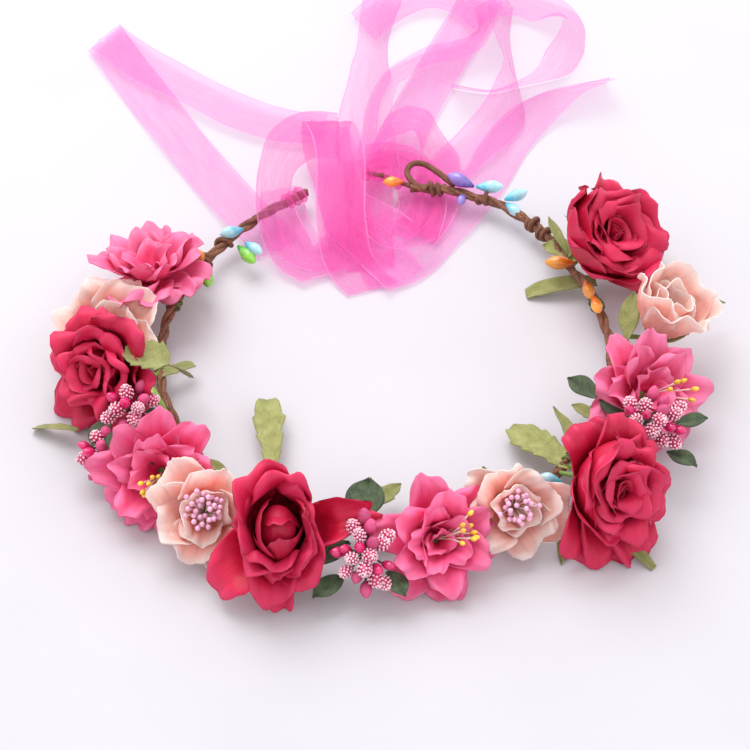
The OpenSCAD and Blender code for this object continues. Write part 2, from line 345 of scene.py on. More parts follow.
def leaf_cloth(name, dark, light, vein):
    """Woven leaf fabric with fine pale threads across it."""
    s = Shader(name)
    along, near_edge, own = s.tint()
    threads = s.noise(1.0, 2, stretch=(46, 14, 1), where="UV")
    patches = s.noise(240, 4)
    colour = s.mix(s.spread(patches, 0.35, 0.65), srgb(dark), srgb(light))
    colour = s.mix(s.spread(threads, 0.5, 0.7, 0, 0.45), colour, srgb(vein))
    colour = s.coloured(colour, s.spread(own, 0, 1, 0.3, 0.7), 0.18)
    colour = s.mix(s.spread(near_edge, 0.9, 0.99, 0, 0.6), colour, srgb(dark))
    normal = s.bump(s.math("ADD", threads, s.noise(1800, 2)), 0.5, 0.4)
    cloth = s.add("BsdfPrincipled", {"Base Color": colour, "Roughness": 0.72, "Specular IOR Level": 0.3,
                                     "Sheen Weight": 0.25, "Normal": normal})
    return s.surface(cloth.outputs[0])


def glossy(name, dark, light, roughness=0.2, coat=0.5, speckle=0.0):
    """Moulded or lacquered: its colour runs from dark at the foot to light at the tip."""
    s = Shader(name)
    along, near_edge, own = s.tint()
    clouds = s.noise(420, 3)
    place = s.math("ADD", along, s.spread(clouds, 0.3, 0.7, -0.18, 0.18))
    colour = s.ramp(place, [(0.05, srgb(dark)), (0.75, srgb(light))])
    colour = s.coloured(colour, s.spread(own, 0, 1, 0.3, 0.7), 0.2)
    normal = s.bump(s.noise(1500 if speckle else 700, 3), 0.15 + speckle, 0.25)
    body = s.add("BsdfPrincipled", {"Base Color": colour, "Roughness": s.spread(
        clouds, 0.3, 0.7, roughness, roughness + 0.12), "Coat Weight": coat, "Coat Roughness": 0.12,
        "Specular IOR Level": 0.5, "Normal": normal})
    return s.surface(body.outputs[0])


def paper_vine(name, dark, light, ridge_light):
    """Crinkled paper wound on wire, with painted shade in its wrinkles' folds and painted light on their ridges."""
    s = Shader(name)
    wrinkles = s.noise(1.0, 5, stretch=(7, 260, 1), where="UV", roughness=0.65)
    patches = s.noise(260, 4, roughness=0.6)
    colour = s.ramp(patches, [(0.3, srgb(dark)), (0.7, srgb(light))])
    # Painted light and shade: a lighter colour on the raised wrinkles, and the colour lighter on their ridges and
    # darker in their folds
    colour = s.mix(s.spread(wrinkles, 0.5, 0.75, 0, 0.55), colour, srgb(ridge_light))
    colour = s.coloured(colour, wrinkles, 0.25)
    height = s.math("ADD", wrinkles, s.math("MULTIPLY", s.noise(1100, 4), 0.5))
    paper = s.add("BsdfPrincipled", {"Base Color": colour, "Roughness": 0.62, "Specular IOR Level": 0.4,
                                     "Normal": s.bump(height, 0.9, 0.6)})
    return s.surface(paper.outputs[0])


def organza(name, thread, through, selvedge, solid):
    """Sheer woven ribbon: tinted threads with light between them, and a paler, denser selvedge."""
    s = Shader(name)
    uv = s.add("SeparateXYZ", {"Vector": s.add("TexCoord").outputs["UV"]}).outputs
    from_middle = s.math("ABSOLUTE", s.math("SUBTRACT", uv["X"], 0.5))
    border = s.spread(from_middle, 0.462, 0.478)
    ribs = s.noise(1.0, 2, stretch=(2.5, 900, 1), where="UV")
    folds = s.noise(1.0, 3, stretch=(7, 1.4, 1), where="UV")
    cover = s.math("ADD", solid, s.spread(ribs, 0.3, 0.7, -0.04, 0.04))
    cover = s.math("ADD", cover, s.spread(folds, 0.35, 0.7, -0.05, 0.10))
    cover = s.math("ADD", cover, s.math("MULTIPLY", border, 0.3))
    # The thread colour is a little lighter on the raised folds and darker between them: painted light and shade
    colour = s.mix(border, s.coloured(srgb(thread), folds, 0.06), srgb(selvedge))
    normal = s.bump(s.math("ADD", s.math("MULTIPLY", ribs, 0.15), folds), 0.35, 1.2)
    threads = s.add("BsdfPrincipled", {"Base Color": colour, "Roughness": 0.42, "Specular IOR Level": 0.4,
                                       "Sheen Weight": 0.2, "Sheen Roughness": 0.4, "Normal": normal})
    glow = s.add("BsdfTranslucent", {"Color": colour, "Normal": normal})
    lit = s.add("MixShader", {0: 0.4, 1: threads.outputs[0], 2: glow.outputs[0]}).outputs[0]
    gap = s.add("BsdfTransparent", {"Color": srgb(through)}).outputs[0]
    return s.surface(s.add("MixShader", {0: cover, 1: gap, 2: lit}).outputs[0])


def steel(name):
    s = Shader(name)
    scratches = s.noise(1.0, 4, stretch=(900, 900, 60), where="Object")
    colour = s.ramp(scratches, [(0.3, srgb("#5E4A40")), (0.7, srgb("#8A7466"))])
    wire = s.add("BsdfPrincipled", {"Base Color": colour, "Metallic": 0.85, "Roughness": 0.42,
                                    "Normal": s.bump(scratches, 0.3, 0.1)})
    return s.surface(wire.outputs[0])


# In each petal satin the darker base colour is partly painted shade and the lighter rim colour partly painted light
CRIMSON = petal_cloth("crimson_satin", "#8A0428", "#CC1238", "#E22C5C", "#F05080", "#F0406C", 0.45, 0.06,
                      0.14, 0.25)
# A darker, shaded copy of the crimson satin for the heart petals and bud: painted shade deep in the rose
SHADED_CRIMSON_HEART = petal_cloth("crimson_heart_satin", "#70041E", "#A60A2A", "#C81C46", "#E04470", "#EC3C66",
                            0.45, 0.06, 0.12, 0.25)
CRIMSON_EDGE = cut_edge("crimson_cut_edge", "#7A0420", "#B01440")
HOT_PINK = petal_cloth("hot_pink_satin", "#F02468", "#FF5290", "#FF7CAE", "#FF9CC4", "#FF98C0", 0.48, 0.06,
                       0.2, 0.3)
LIGHT_PINK = petal_cloth("light_pink_satin", "#FF3A7C", "#FF649C", "#FF88B6", "#FFA4CA", "#FF9CC8", 0.48, 0.06,
                         0.2, 0.3)
HOT_PINK_EDGE = cut_edge("hot_pink_cut_edge", "#B8104A", "#E0307A")
PEACH = petal_cloth("peach_chiffon", "#FF907C", "#FFC2B4", "#FFE4DC", "#FFFCFA", "#FFEEE8", 0.55, 0.05, 0.42,
                    0.7)
PEACH_EDGE = cut_edge("peach_cut_edge", "#FFF0E8", "#FFFFFF")
OLIVE = leaf_cloth("olive_leaf_cloth", "#84884A", "#9C9E60", "#B9BA88")
DARK_LEAF = leaf_cloth("dark_leaf_cloth", "#35452F", "#566A4A", "#7E9070")
SEPAL = glossy("green_sepal_plastic", "#4E7434", "#86A84E", 0.4, 0.2, 0.3)
LIME = glossy("lime_stem_plastic", "#7FB02E", "#B8DC4C", 0.2, 0.5)
TAPE = leaf_cloth("floral_tape", "#5E6B34", "#7F8A48", "#98A160")
# The last colour is painted light on the paper's raised wrinkles
VINE = paper_vine("brown_paper_vine", "#6A3E2C", "#97644C", "#B98A70")
YELLOW = glossy("yellow_stamen_tip", "#E8A81C", "#FFD648", 0.35, 0.3, 0.3)
PALE_STALK = glossy("pale_stamen_stalk", "#F7D9C8", "#FFF0E0", 0.4, 0.2)
PEARL = glossy("pearl_pink", "#D878B0", "#F4B8D8", 0.22, 0.7)
SUGAR = glossy("sugar_bead", "#E88CB0", "#FBD4E2", 0.35, 0.3)
BERRY_CORE = glossy("magenta_berry", "#8C0A40", "#BE1858", 0.3, 0.4, 0.4)
BERRY_FUZZ = glossy("fuzzy_pink_berry", "#B81C5C", "#E0588C", 0.6, 0.1, 1.5)
BERRY_GLOSS = glossy("glossy_pink_berry", "#B00C4C", "#E02070", 0.16, 0.8)
ORANGE = glossy("orange_bud", "#D85A14", "#FFA83A", 0.18, 0.8)
GREEN = glossy("green_bud", "#2F9A34", "#8ED84E", 0.18, 0.8)
BLUE = glossy("blue_bud", "#3CC0E4", "#BCEAF4", 0.18, 0.8)
PURPLE = glossy("purple_bud", "#4A3A9C", "#9C86D8", 0.18, 0.8)
ORGANZA = organza("pink_organza", "#FF8ED8", "#FFF4FD", "#FFA8E0", 0.25)
DENSE_ORGANZA = organza("pink_organza_bow", "#FF78C8", "#FFECFA", "#FFA4DE", 0.34)
WIRE = steel("steel_wire")

# ================================================================ petals


# Petals above the first height are pressed down, so that none stands higher than the sum of the two:
# the room that the CAD model's own height leaves for them
EVEN_TOP = 45.0
TOP_SPARE = 9.0


def petal(cloth, turn, place, length, width, pitch, base=2.0, cup=(6, 12, 18), outline=(0.3, 0.8, 1.0, 1.0, 0.86),
          round_off=0.4, tip=0.0, ruffle=0.8, waves=2.4, curl=0.0, crease=0.0, crumple=0.6, azimuth=0.0,
          height=0.0, rows=20, cols=17, fray=0.0, lap=0.0, rng=random):
    """One petal. pitch is the slope along it in degrees: 90 goes straight up, 0 lies flat. cup is the
    radius that it bends to across, foot to rim, outline its width along it, and lap how far one side
    lies outside the other."""
    s = np.linspace(0, 1.25, 120)
    slope = np.radians(eased(s, pitch))
    step = length * (s[1] - s[0])
    out = base + np.concatenate([[0], np.cumsum(np.cos(slope[:-1]) * step)])
    rise = height + np.concatenate([[0], np.cumsum(np.sin(slope[:-1]) * step)])

    t, v = np.meshgrid(np.linspace(0, 1, rows) ** 0.85, np.linspace(-1, 1, cols), indexing="ij")
    phase = [rng.uniform(0, TAU) for _ in range(5)]
    cut = np.array([rng.uniform(-fray, fray) for _ in range(cols)])[None]
    reach = 1 - round_off * (1 - np.sqrt(1 - np.abs(v) ** 2.5)) + tip * np.exp(-(v / 0.16) ** 2)
    reach = reach + 0.03 * ruffle * np.sin(waves * 2.1 * v + phase[0]) + cut
    q = np.clip(t * reach, 0, 1.25)
    lean = np.interp(q, s, slope)
    across = v * width / 2 * eased(t, outline)
    bend = eased(q, cup)
    lift = bend * (1 - np.cos(across / bend))
    side = bend * np.sin(across / bend)

    rim = smooth(0.4, 1.0, t)
    ripple = ruffle * rim * np.sin(waves * math.pi * v * 0.9 + phase[2])
    ripple = ripple + 0.22 * ruffle * rim * np.sin(waves * 2.3 * math.pi * v * 0.9 + phase[4])
    ripple = ripple + 0.7 * ruffle * np.abs(v) ** 2.5 * np.sin(2.0 * math.pi * t + phase[3]) * np.sign(v)
    edge_curl = curl * (smooth(0.72, 1.0, t) ** 2 + 0.7 * smooth(0.55, 1.0, np.abs(v)) * smooth(0.3, 1, t))
    valley = crease * np.exp(-(v / 0.16) ** 2) * np.sin(math.pi * np.clip(t, 0, 0.98))
    normal = lift + ripple - edge_curl - valley + lap * v * smooth(0.1, 0.8, t)
    radial = np.interp(q, s, out) - normal * np.sin(lean)
    axial = np.interp(q, s, rise) + normal * np.cos(lean)
    points = np.stack([radial, side, axial], -1)
    points = wander(points, 10.0, crumple, rng.uniform(0, 90))
    points = wander(points, 4.0, crumple * 0.3, rng.uniform(0, 90))
    spin = np.array(Matrix.Rotation(azimuth, 3, "Z"))
    points = points @ spin.T @ turn.T + place
    points[..., 2] = np.maximum(points[..., 2], 0.6 + 0.5 * rng.random())
    over = np.maximum(points[..., 2] - EVEN_TOP, 0)
    points[..., 2] += TOP_SPARE * (1 - np.exp(-over / TOP_SPARE)) - over
    near_edge = np.maximum(np.abs(v), t) * smooth(0.1, 0.4, t)
    tint = np.stack([t, near_edge, np.full_like(t, rng.random())], -1)
    cloth.patch(points, tint)


def whorls(cloth, layers, turn, place, rng, size=1.0, opening=0.0, **common):
    """Rings of petals, each a golden step round from the last. A layer with azimuths has its petals
    where it says: 0 is the flower's right and 90 its top, seen from in front of it."""
    golden = math.radians(137.5)
    start = rng.uniform(0, TAU)
    for number, layer in enumerate(layers):
        spec = {**common, **layer}
        count = spec.pop("count", 0)
        azimuths = [math.radians(a) for a in spec.pop("azimuths", ())] or [
            start + number * golden + TAU * k / count + rng.uniform(-0.16, 0.16) for k in range(count)]
        length, width, pitch = spec.pop("length"), spec.pop("width"), spec.pop("pitch")
        open_share = number / max(1, len(layers) - 1)
        spec["base"] = spec.get("base", 2.0) * size
        spec["cup"] = [c * size for c in spec.get("cup", (6, 12, 18))]
        for azimuth in azimuths:
            grow = rng.uniform(0.94, 1.07)
            tilt = rng.uniform(-6, 6) - opening * open_share
            petal(cloth, turn, place, length * grow * size, width * rng.uniform(0.94, 1.06) * size,
                  [p + tilt for p in pitch], azimuth=azimuth, rng=rng, **spec)


def finished(obj, body, slot, *stands_for):
    """Fixes a piece to its body and hides the CAD nodes that it stands for. slot, its finish's name, is not used."""
    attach(obj, body)
    if stands_for:
        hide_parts(*stands_for)
    return obj


def middle_of(node):
    low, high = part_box(node)
    return np.array((low + high) / 2) / MM


# ================================================================ roses

ROSE_HEART = (
    dict(count=3, length=17, width=15, pitch=(86, 90, 94, 100, 106), base=1.0, cup=(2.0, 2.8, 3.4),
         ruffle=0.2, curl=0.2, crumple=0.3, lap=0.8),
    dict(count=3, length=19, width=21, pitch=(74, 88, 92, 92, 84, 40), base=2.4, cup=(4.2, 5.8, 6.8),
         ruffle=0.5, curl=0.9, crumple=0.5, lap=1.8),
)
ROSE_MIDDLE = (
    dict(count=3, length=22, width=28, pitch=(50, 82, 90, 90, 84, 60, -10), base=3.0, cup=(6.4, 9, 10.5),
         ruffle=0.9, curl=1.2, crumple=0.8, lap=2.6),
    dict(count=4, length=24, width=29, pitch=(24, 70, 86, 88, 82, 48, -30), base=3.4, cup=(9, 12, 14),
         ruffle=1.2, curl=1.5, crumple=1.0, lap=2.8),
)
ROSE_OUTER = (
    dict(count=5, length=26, width=31, pitch=(0, 48, 72, 78, 70, 30, -40), base=3.4, cup=(11, 15, 18),
         ruffle=1.5, curl=1.7, crumple=1.2, lap=2.6),
)
ROSE_SKIRT = dict(length=24, width=28, pitch=(-16, 10, 34, 34, 8, -24, -50), base=3.6, cup=(14, 17, 20),
                  ruffle=1.6, curl=1.4, crumple=1.2, lap=1.4)
# The front left rose is an oval cup that stands open round a closed bud
BUD_HEART = (
    dict(azimuths=(90,), length=30, width=30, pitch=(56, 78, 90, 98, 108, 120), base=4.6, cup=(9, 10, 8),
         outline=(0.6, 1, 1, 0.85, 0.45), ruffle=0.3, crumple=0.6),
    dict(azimuths=(188,), length=31, width=29, pitch=(58, 80, 90, 98, 106, 114), base=5.4, cup=(9.4, 10.4, 8),
         ruffle=0.4, curl=0.2, crumple=0.8),
    dict(azimuths=(284,), length=33, width=32, pitch=(54, 76, 90, 100, 112, 124), base=6.2,
         cup=(10, 11, 8), outline=(0.6, 1, 1, 0.86, 0.42), tip=0.04, round_off=0.3, ruffle=0.5, waves=1.6,
         crumple=1.0, crease=1.0),
    dict(azimuths=(20,), length=32, width=23, pitch=(56, 76, 88, 94, 100, 108), base=8.4, cup=(9, 10, 8),
         outline=(0.5, 0.95, 1, 0.75, 0.3), tip=0.1, ruffle=0.5, curl=0.4, crumple=0.9),
)
BUD_CUP = (
    dict(azimuths=(165, 250, 335), length=25, width=32, pitch=(4, 44, 74, 86, 86, 76, 20), base=4.8,
         cup=(11, 14, 15), ruffle=1.2, waves=2.6, curl=1.4, crumple=1.4, lap=2.8, round_off=0.3),
    dict(azimuths=(84,), length=32, width=32, pitch=(4, 44, 72, 82, 80, 66, 10), base=4.8,
         cup=(11, 14, 15), ruffle=1.2, waves=2.6, curl=1.4, crumple=1.4, lap=2.8, round_off=0.3),
    dict(azimuths=(205, 300, 30), length=26, width=33, pitch=(-6, 36, 68, 82, 80, 54, -30), base=5,
         cup=(12, 16, 17), ruffle=1.5, waves=2.8, curl=1.6, crumple=1.6, lap=2.8, round_off=0.3),
    dict(azimuths=(120,), length=33, width=32, pitch=(-6, 36, 66, 78, 74, 50, -20), base=5,
         cup=(12, 16, 17), ruffle=1.5, waves=2.8, curl=1.6, crumple=1.6, lap=2.8, round_off=0.3),
)
# Each rose: which way it faces, its width and height against its own size, and what its petals are
ROSES = {
    "left": dict(axis=(-0.46, -0.72, 0.52), stretch=(1.0, 1.0), size=0.95, seed=12, heart=ROSE_HEART,
                 petals=(*ROSE_MIDDLE, *ROSE_OUTER,
                         {**ROSE_SKIRT, "azimuths": (110, 160, 205, 255, 300)},
                         dict(azimuths=(48,), length=34, width=34, pitch=(-4, 30, 46, 44, 34, 16, -10),
                              base=4, cup=(13, 18, 20), ruffle=1.3, waves=2.4, curl=1.4, crumple=1.7, lap=2.0),
                         dict(azimuths=(355, 330), length=33, width=27, pitch=(0, 26, 40, 44, 40, 24),
                              cup=(13, 18, 20), ruffle=1.4, waves=2.4, crumple=1.6, curl=0.6, fray=0.02),
                         dict(azimuths=(232, 275), length=29, width=29, pitch=(-14, 16, 40, 38, 6, -20), base=4,
                              cup=(14, 18, 20), ruffle=1.2, curl=1.6, crumple=1.2))),
    "front_left": dict(axis=(0.02, -0.62, 0.78), stretch=(0.88, 1.14), size=0.98, seed=23, heart=BUD_HEART,
                       petals=(*BUD_CUP,
                               dict(azimuths=(214,), length=33, width=27, pitch=(-16, 14, 34, 20, -4, -30, -40),
                                    base=5, cup=(11, 14, 16), ruffle=1.3, waves=2.0, curl=1.8, crumple=1.3, lap=1.6),
                               dict(azimuths=(262, 315), length=25, width=28, pitch=(-10, 34, 60, 60, 34, -10),
                                    base=5, cup=(12, 15, 17), ruffle=1.3, waves=2.2, curl=1.6, crumple=1.4),
                               dict(azimuths=(272,), length=25, width=18, pitch=(-12, 24, 40, 22, -10, -34),
                                    base=5, cup=(6, 7, 8), ruffle=0.8, curl=1.2, crumple=1.0),
                               dict(azimuths=(6,), length=39, width=24, pitch=(-14, 8, 30, 30, 10, -6, -14), base=4,
                                    cup=(6, 8, 9), ruffle=2.2, waves=2.6, curl=1.8, crumple=2.0, crease=1.4, tip=0.1,
                                    round_off=0.5, outline=(0.5, 0.95, 1.0, 0.84, 0.55)))),
    "front_right": dict(axis=(0.40, -0.74, 0.54), stretch=(0.96, 1.08), size=1.0, seed=31, heart=ROSE_HEART,
                        petals=(*ROSE_MIDDLE, *ROSE_OUTER,
                                {**ROSE_SKIRT, "azimuths": (25, 70, 120)},
                                dict(azimuths=(140, 180, 222), length=29, width=36, base=5,
                                     pitch=(-8, 30, 58, 76, 84, 88, 78), cup=(14, 17, 19), ruffle=0.8, curl=0.8,
                                     crumple=0.9, lap=2.6, waves=1.8),
                                dict(azimuths=(350, 320), length=26, width=28, pitch=(-6, 34, 58, 60, 40, 0),
                                     base=4, cup=(13, 16, 18), ruffle=1.2, waves=2.4, curl=1.4, crumple=1.3),
                                dict(azimuths=(240, 268, 296), length=29, width=27, base=4,
                                     pitch=(-14, 20, 42, 30, 4, -24), cup=(12, 15, 18), ruffle=1.2, waves=2.2,
                                     curl=1.2, crumple=1.4))),
    "back_right": dict(axis=(0.46, -0.46, 0.76), stretch=(1.06, 1.0), size=1.14, shift=(-5, -2, 0), seed=47, heart=ROSE_HEART,
                       petals=(*ROSE_MIDDLE, *ROSE_OUTER,
                               {**ROSE_SKIRT, "azimuths": (70, 25, 335)},
                               dict(azimuths=(165, 200, 245, 290), length=30, width=36, base=5,
                                    pitch=(-6, 32, 60, 78, 86, 84, 60), cup=(14, 17, 18), ruffle=0.7, curl=1.0,
                                    crumple=0.8, lap=2.6, waves=1.8),
                               dict(azimuths=(142,), length=36, width=15, pitch=(10, 46, 70, 80, 76, 50), base=8,
                                    cup=(6, 7, 7), ruffle=0.5, curl=0.8, crumple=0.9,
                                    outline=(0.6, 1.0, 0.95, 0.7, 0.4)))),
}
ROSE_DEPTH = 12.0
BUD_LENGTH, BUD_RADIUS = 27.5, 7.6  # from the middle of a rose back to its foot


def make_rose(name, axis, stretch, size, seed, heart, petals, shift=(0, 0, 0)):
    rng = random.Random(seed)
    turn = facing(axis)
    foot = middle_of(f"rose_{name}_petals") - turn[:, 2] * ROSE_DEPTH * size + shift
    shaped = turn * (*stretch, 1.0)
    # The heart petals take the darker crimson, painted shade in the rose's hollow
    for part, layers, material in (("heart", heart, SHADED_CRIMSON_HEART), ("petals", petals, CRIMSON)):
        cloth = Cloth()
        whorls(cloth, layers, shaped, foot, rng, size=size)
        if layers is BUD_HEART:
            lathe(cloth, egg(BUD_LENGTH, BUD_RADIUS, 16, point=0.5), foot, shaped, 24)
        finished(cloth.make(f"rose_{name}_{part}_cloth", material, 0.28, CRIMSON_EDGE), "garland",
                 "crimson_fabric", f"rose_{name}_{part}")
    return foot, turn


# ================================================================ lilies and peach blossoms

LILY_PETALS = (
    dict(count=3, length=12, width=11, pitch=(70, 80, 70, 50), base=1.4, cup=(4, 6, 8), ruffle=0.6, curl=0.4),
    dict(count=5, length=17, width=15, pitch=(44, 64, 60, 36), base=1.8, cup=(5, 8, 10), ruffle=1.1, curl=0.8),
    dict(count=6, length=21, width=17.5, pitch=(18, 44, 42, 14), base=2.0, cup=(7, 11, 13), ruffle=1.3, curl=1.0),
    dict(count=6, length=24, width=18.5, pitch=(-6, 16, 18, -10), base=2.0, cup=(9, 13, 16), ruffle=1.3,
         curl=1.0),
)
LILY_SHAPE = dict(outline=(0.24, 0.76, 1.0, 1.02, 0.84), round_off=0.42, tip=0.05, waves=2.2, crumple=1.2,
                  crease=0.6, lap=1.0, rows=22, cols=21)
LILY_SIDE = (
    dict(count=4, length=16, width=14, pitch=(48, 70, 66, 50), base=1.8, cup=(5, 8, 10), ruffle=1.1, curl=0.8),
    dict(count=5, length=21, width=17, pitch=(22, 50, 54, 34), base=2.0, cup=(7, 10, 12), ruffle=1.3, curl=0.9),
    dict(azimuths=(4, 46, 88, 130, 174), length=25, width=19, pitch=(8, 32, 36, 18), base=2.0, cup=(8, 12, 15),
         ruffle=1.3, curl=1.0),
    dict(azimuths=(206, 242, 276, 310, 342), length=22, width=18, pitch=(-6, 18, 18, -14), base=2.0,
         cup=(10, 14, 17), ruffle=1.4, curl=1.2),
)
# Each bloom: which way it faces, which way its stamens lean, and how many and how long they are
LILIES = {
    "left": dict(axis=(-0.16, 0.22, 0.96), size=1.04, seed=61, look=LIGHT_PINK, stamens=0, layers=LILY_SIDE,
                 shift=(0, 2, 3)),
    "front_left": dict(axis=(-0.16, -0.74, 0.65), size=1.02, seed=67, stamens=13, reach=15, lean=(-0.10, -0.90, 0.42),
                       spread=0.26, layers=LILY_SIDE, shift=(-1, -5, 0)),
    "front": dict(axis=(0.22, -0.66, 0.71), size=1.02, seed=71, stamens=8, reach=18, lean=(0.72, -0.34, 0.72),
                  spread=0.24),
    "right": dict(axis=(0.28, -0.50, 0.82), size=1.0, seed=79, look=LIGHT_PINK, stamens=6, reach=19, lean=(0.82, -0.30, 0.55),
                  spread=0.30, layers=LILY_SIDE, shift=(1, -3, 0)),
}
LILY_DEPTH = 7.0

PEACH_PETALS = (
    dict(count=3, length=15, width=20, pitch=(56, 68, 60, 34), base=2.2, cup=(7, 9, 11), ruffle=1.3, curl=0.8),
    dict(count=4, length=20, width=28, pitch=(20, 42, 40, 16), base=2.4, cup=(10, 14, 17), ruffle=1.7, curl=1.0),
    dict(count=2, length=22, width=28, pitch=(4, 20, 18, -6), base=2.4, cup=(14, 19, 24), ruffle=1.8, curl=0.8),
)
PEACH_SHAPE = dict(outline=(0.25, 0.74, 1.0, 1.05, 1.0), round_off=0.28, waves=2.0, crumple=1.7, lap=1.6,
                   rows=24, cols=35, fray=0.014)
PEACH_CUP = (
    dict(count=4, length=17, width=20, pitch=(50, 74, 84, 88), base=2.2, cup=(7, 9, 10), ruffle=1.4, curl=0.5),
    dict(count=5, length=23, width=26, pitch=(20, 58, 74, 70), base=2.4, cup=(9, 12, 14), ruffle=2.0, curl=0.8),
)
PEACHES = {
    "left": dict(axis=(-0.10, -0.44, 0.89), size=1.08, seed=83, stamens=9, reach=13, lean=(-0.3, -0.4, 0.85),
                 spread=0.4, shift=(4, -6, -3)),
    "front_left": dict(axis=(0.02, -0.70, 0.71), size=0.92, seed=89, stamens=30, reach=15,
                       lean=(0.06, -0.56, 0.82), spread=0.40),
    "front_right": dict(axis=(0.10, -0.72, 0.68), size=0.9, seed=97, stamens=26, reach=14, lean=(0.16, -0.66, 0.74),
                        spread=0.38),
    "right": dict(axis=(0.50, 0.10, 0.86), size=1.16, seed=101, stamens=0, layers=PEACH_CUP,
                  shift=(-2, -3, 0), sepals=(1.5, (40, 62, 66, 40))),
}
PEACH_DEPTH = 7.0


def make_bloom(kind, name, spec, layers, shape, depth, material, edge, slot):
    rng = random.Random(spec["seed"])
    turn = facing(spec["axis"])
    node = f"{kind}_{name}_petals"
    foot = middle_of(node) - turn[:, 2] * depth * spec["size"] + spec.get("shift", (0, 0, 0))
    petals = Cloth()
    whorls(petals, spec.get("layers", layers), turn, foot, rng, size=spec["size"], opening=spec.get("opening", 0), **shape)
    finished(petals.make(f"{node}_cloth", spec.get("look", material), 0.26, edge), "garland", slot, node)
    return foot, turn


def stamens(tips, stalks, foot, rng, spec, tip_shape):
    """Thin stalks that fan out of a flower's foot, each with a grain on its end."""
    turn = facing(spec["lean"])
    for k in range(spec["stamens"]):
        angle = TAU * (k * 0.382)
        lean = spec["spread"] * math.sqrt((k + 0.5) / spec["stamens"]) * rng.uniform(0.85, 1.1)
        way = np.array((math.cos(angle) * math.sin(lean), math.sin(angle) * math.sin(lean), math.cos(lean)))
        reach = spec["reach"] * rng.uniform(0.8, 1.12)
        droop = np.array((math.cos(angle), math.sin(angle), -0.4)) * rng.uniform(0.2, 1.4)
        path = bent([(0, 0, 0), way * reach * 0.55, way * reach + droop], 7) @ turn.T + foot
        tube(stalks, path, 0.3, 6)
        lathe(tips, tip_shape, path[-1], facing(path[-1] - path[-2]), 9, rng.random())


# ================================================================ calyxes and stems

SEPAL_SHAPE = dict(outline=(0.5, 0.95, 1.0, 0.62, 0.2), round_off=0.25, tip=0.25, ruffle=0.25, waves=2,
                   crumple=0.35, crease=0.35, rows=10, cols=7)


def calyx(cloth, foot, turn, rng, reach, size, pitch=(-8, -14, -20, -30)):
    """A green cup with five sepals, and a taped stem from it to the vine."""
    seat = foot - turn[:, 2] * (1.6 if pitch[0] < 0 else 0.6)
    whorls(cloth, (dict(count=5, length=11 * size, width=6.5 * size, pitch=pitch, base=1.2,
                        cup=(4, 7, 9)),), turn, seat, rng, **SEPAL_SHAPE)
    cup = [(0.6, -3.0), (1.3, -2.6), (2.0, -1.6), (2.6, -0.2), (2.2, 0.6), (0.8, 0.8)]
    lathe(cloth, cup, seat - turn[:, 2] * 0.6, turn, 12)
    spot = on_ring(math.degrees(math.atan2(foot[1], foot[0])))
    back = foot - turn[:, 2] * 3.0
    path = bent([back, back - turn[:, 2] * reach * 0.4 + (0, 0, -1), (back + spot) / 2, spot], 10)
    path[:, 2] = np.maximum(path[:, 2], 1.4)
    tube(cloth, path, 1.0, 8)


# ================================================================ the vine's line

RING_R = 91.0
VINE_Z = 9.0
HINGE = {j["name"]: np.array(j["pos"]) / MM for j in frame["joints"]} if "pos" in frame["joints"][0] else {}


def on_ring(degrees, height=VINE_Z):
    a = math.radians(degrees)
    return np.array((RING_R * math.cos(a), RING_R * math.sin(a), height))


def arc(centre, radius, start, end, step=1.2):
    """Points on a level arc at the vine's height, from start to end degrees."""
    count = max(3, int(abs(math.radians(end - start)) * radius / step))
    a = np.radians(np.linspace(start, end, count))
    return np.stack([centre[0] + radius * np.cos(a), centre[1] + radius * np.sin(a),
                     np.full(count, VINE_Z)], -1)


# Centre and radius of the two arms, and the angles between which each one runs
LEFT_ARM = dict(centre=(35.35, -16.48), radius=130.0, start=155.0, end=122.0)
RIGHT_ARM = dict(centre=(13.2, 30.27), radius=66.0, start=17.0, end=92.0)
RING_LEFT, RING_RIGHT, RING_FRONT = 155.0, 393.0, 270.0
LEFT_HALF = np.concatenate([arc((0, 0), RING_R, RING_FRONT, RING_LEFT)[:-1], arc(**LEFT_ARM)])
RIGHT_HALF = np.concatenate([arc((0, 0), RING_R, RING_FRONT, RING_RIGHT)[:-1], arc(**RIGHT_ARM)])


def twisted(cloth, centre, strands, wind, radius, lay, seed, first=0, last=None):
    """Strands wound round a centre line: wind is how far out each runs, lay the length of a turn."""
    centre = centre[first:last]
    side, up = frames(centre)
    run = np.concatenate([[0], np.cumsum(np.linalg.norm(np.diff(centre, axis=0), axis=1))])
    rng = random.Random(seed)
    for k in range(strands):
        angle = TAU * (run / lay + k / strands)
        angle = angle + 0.5 * np.sin(run / 23 + rng.uniform(0, TAU))
        out = wind * (1 + 0.22 * np.sin(run / 11 + rng.uniform(0, TAU)))
        path = centre + (side * np.cos(angle)[:, None] + up * np.sin(angle)[:, None]) * out[:, None]
        ridge = 1 + 0.05 * np.sin(run * TAU / 3.1 + k) + 0.05 * np.sin(run / 5.3 + k)
        tube(cloth, path, radius * ridge, 10, k / strands)


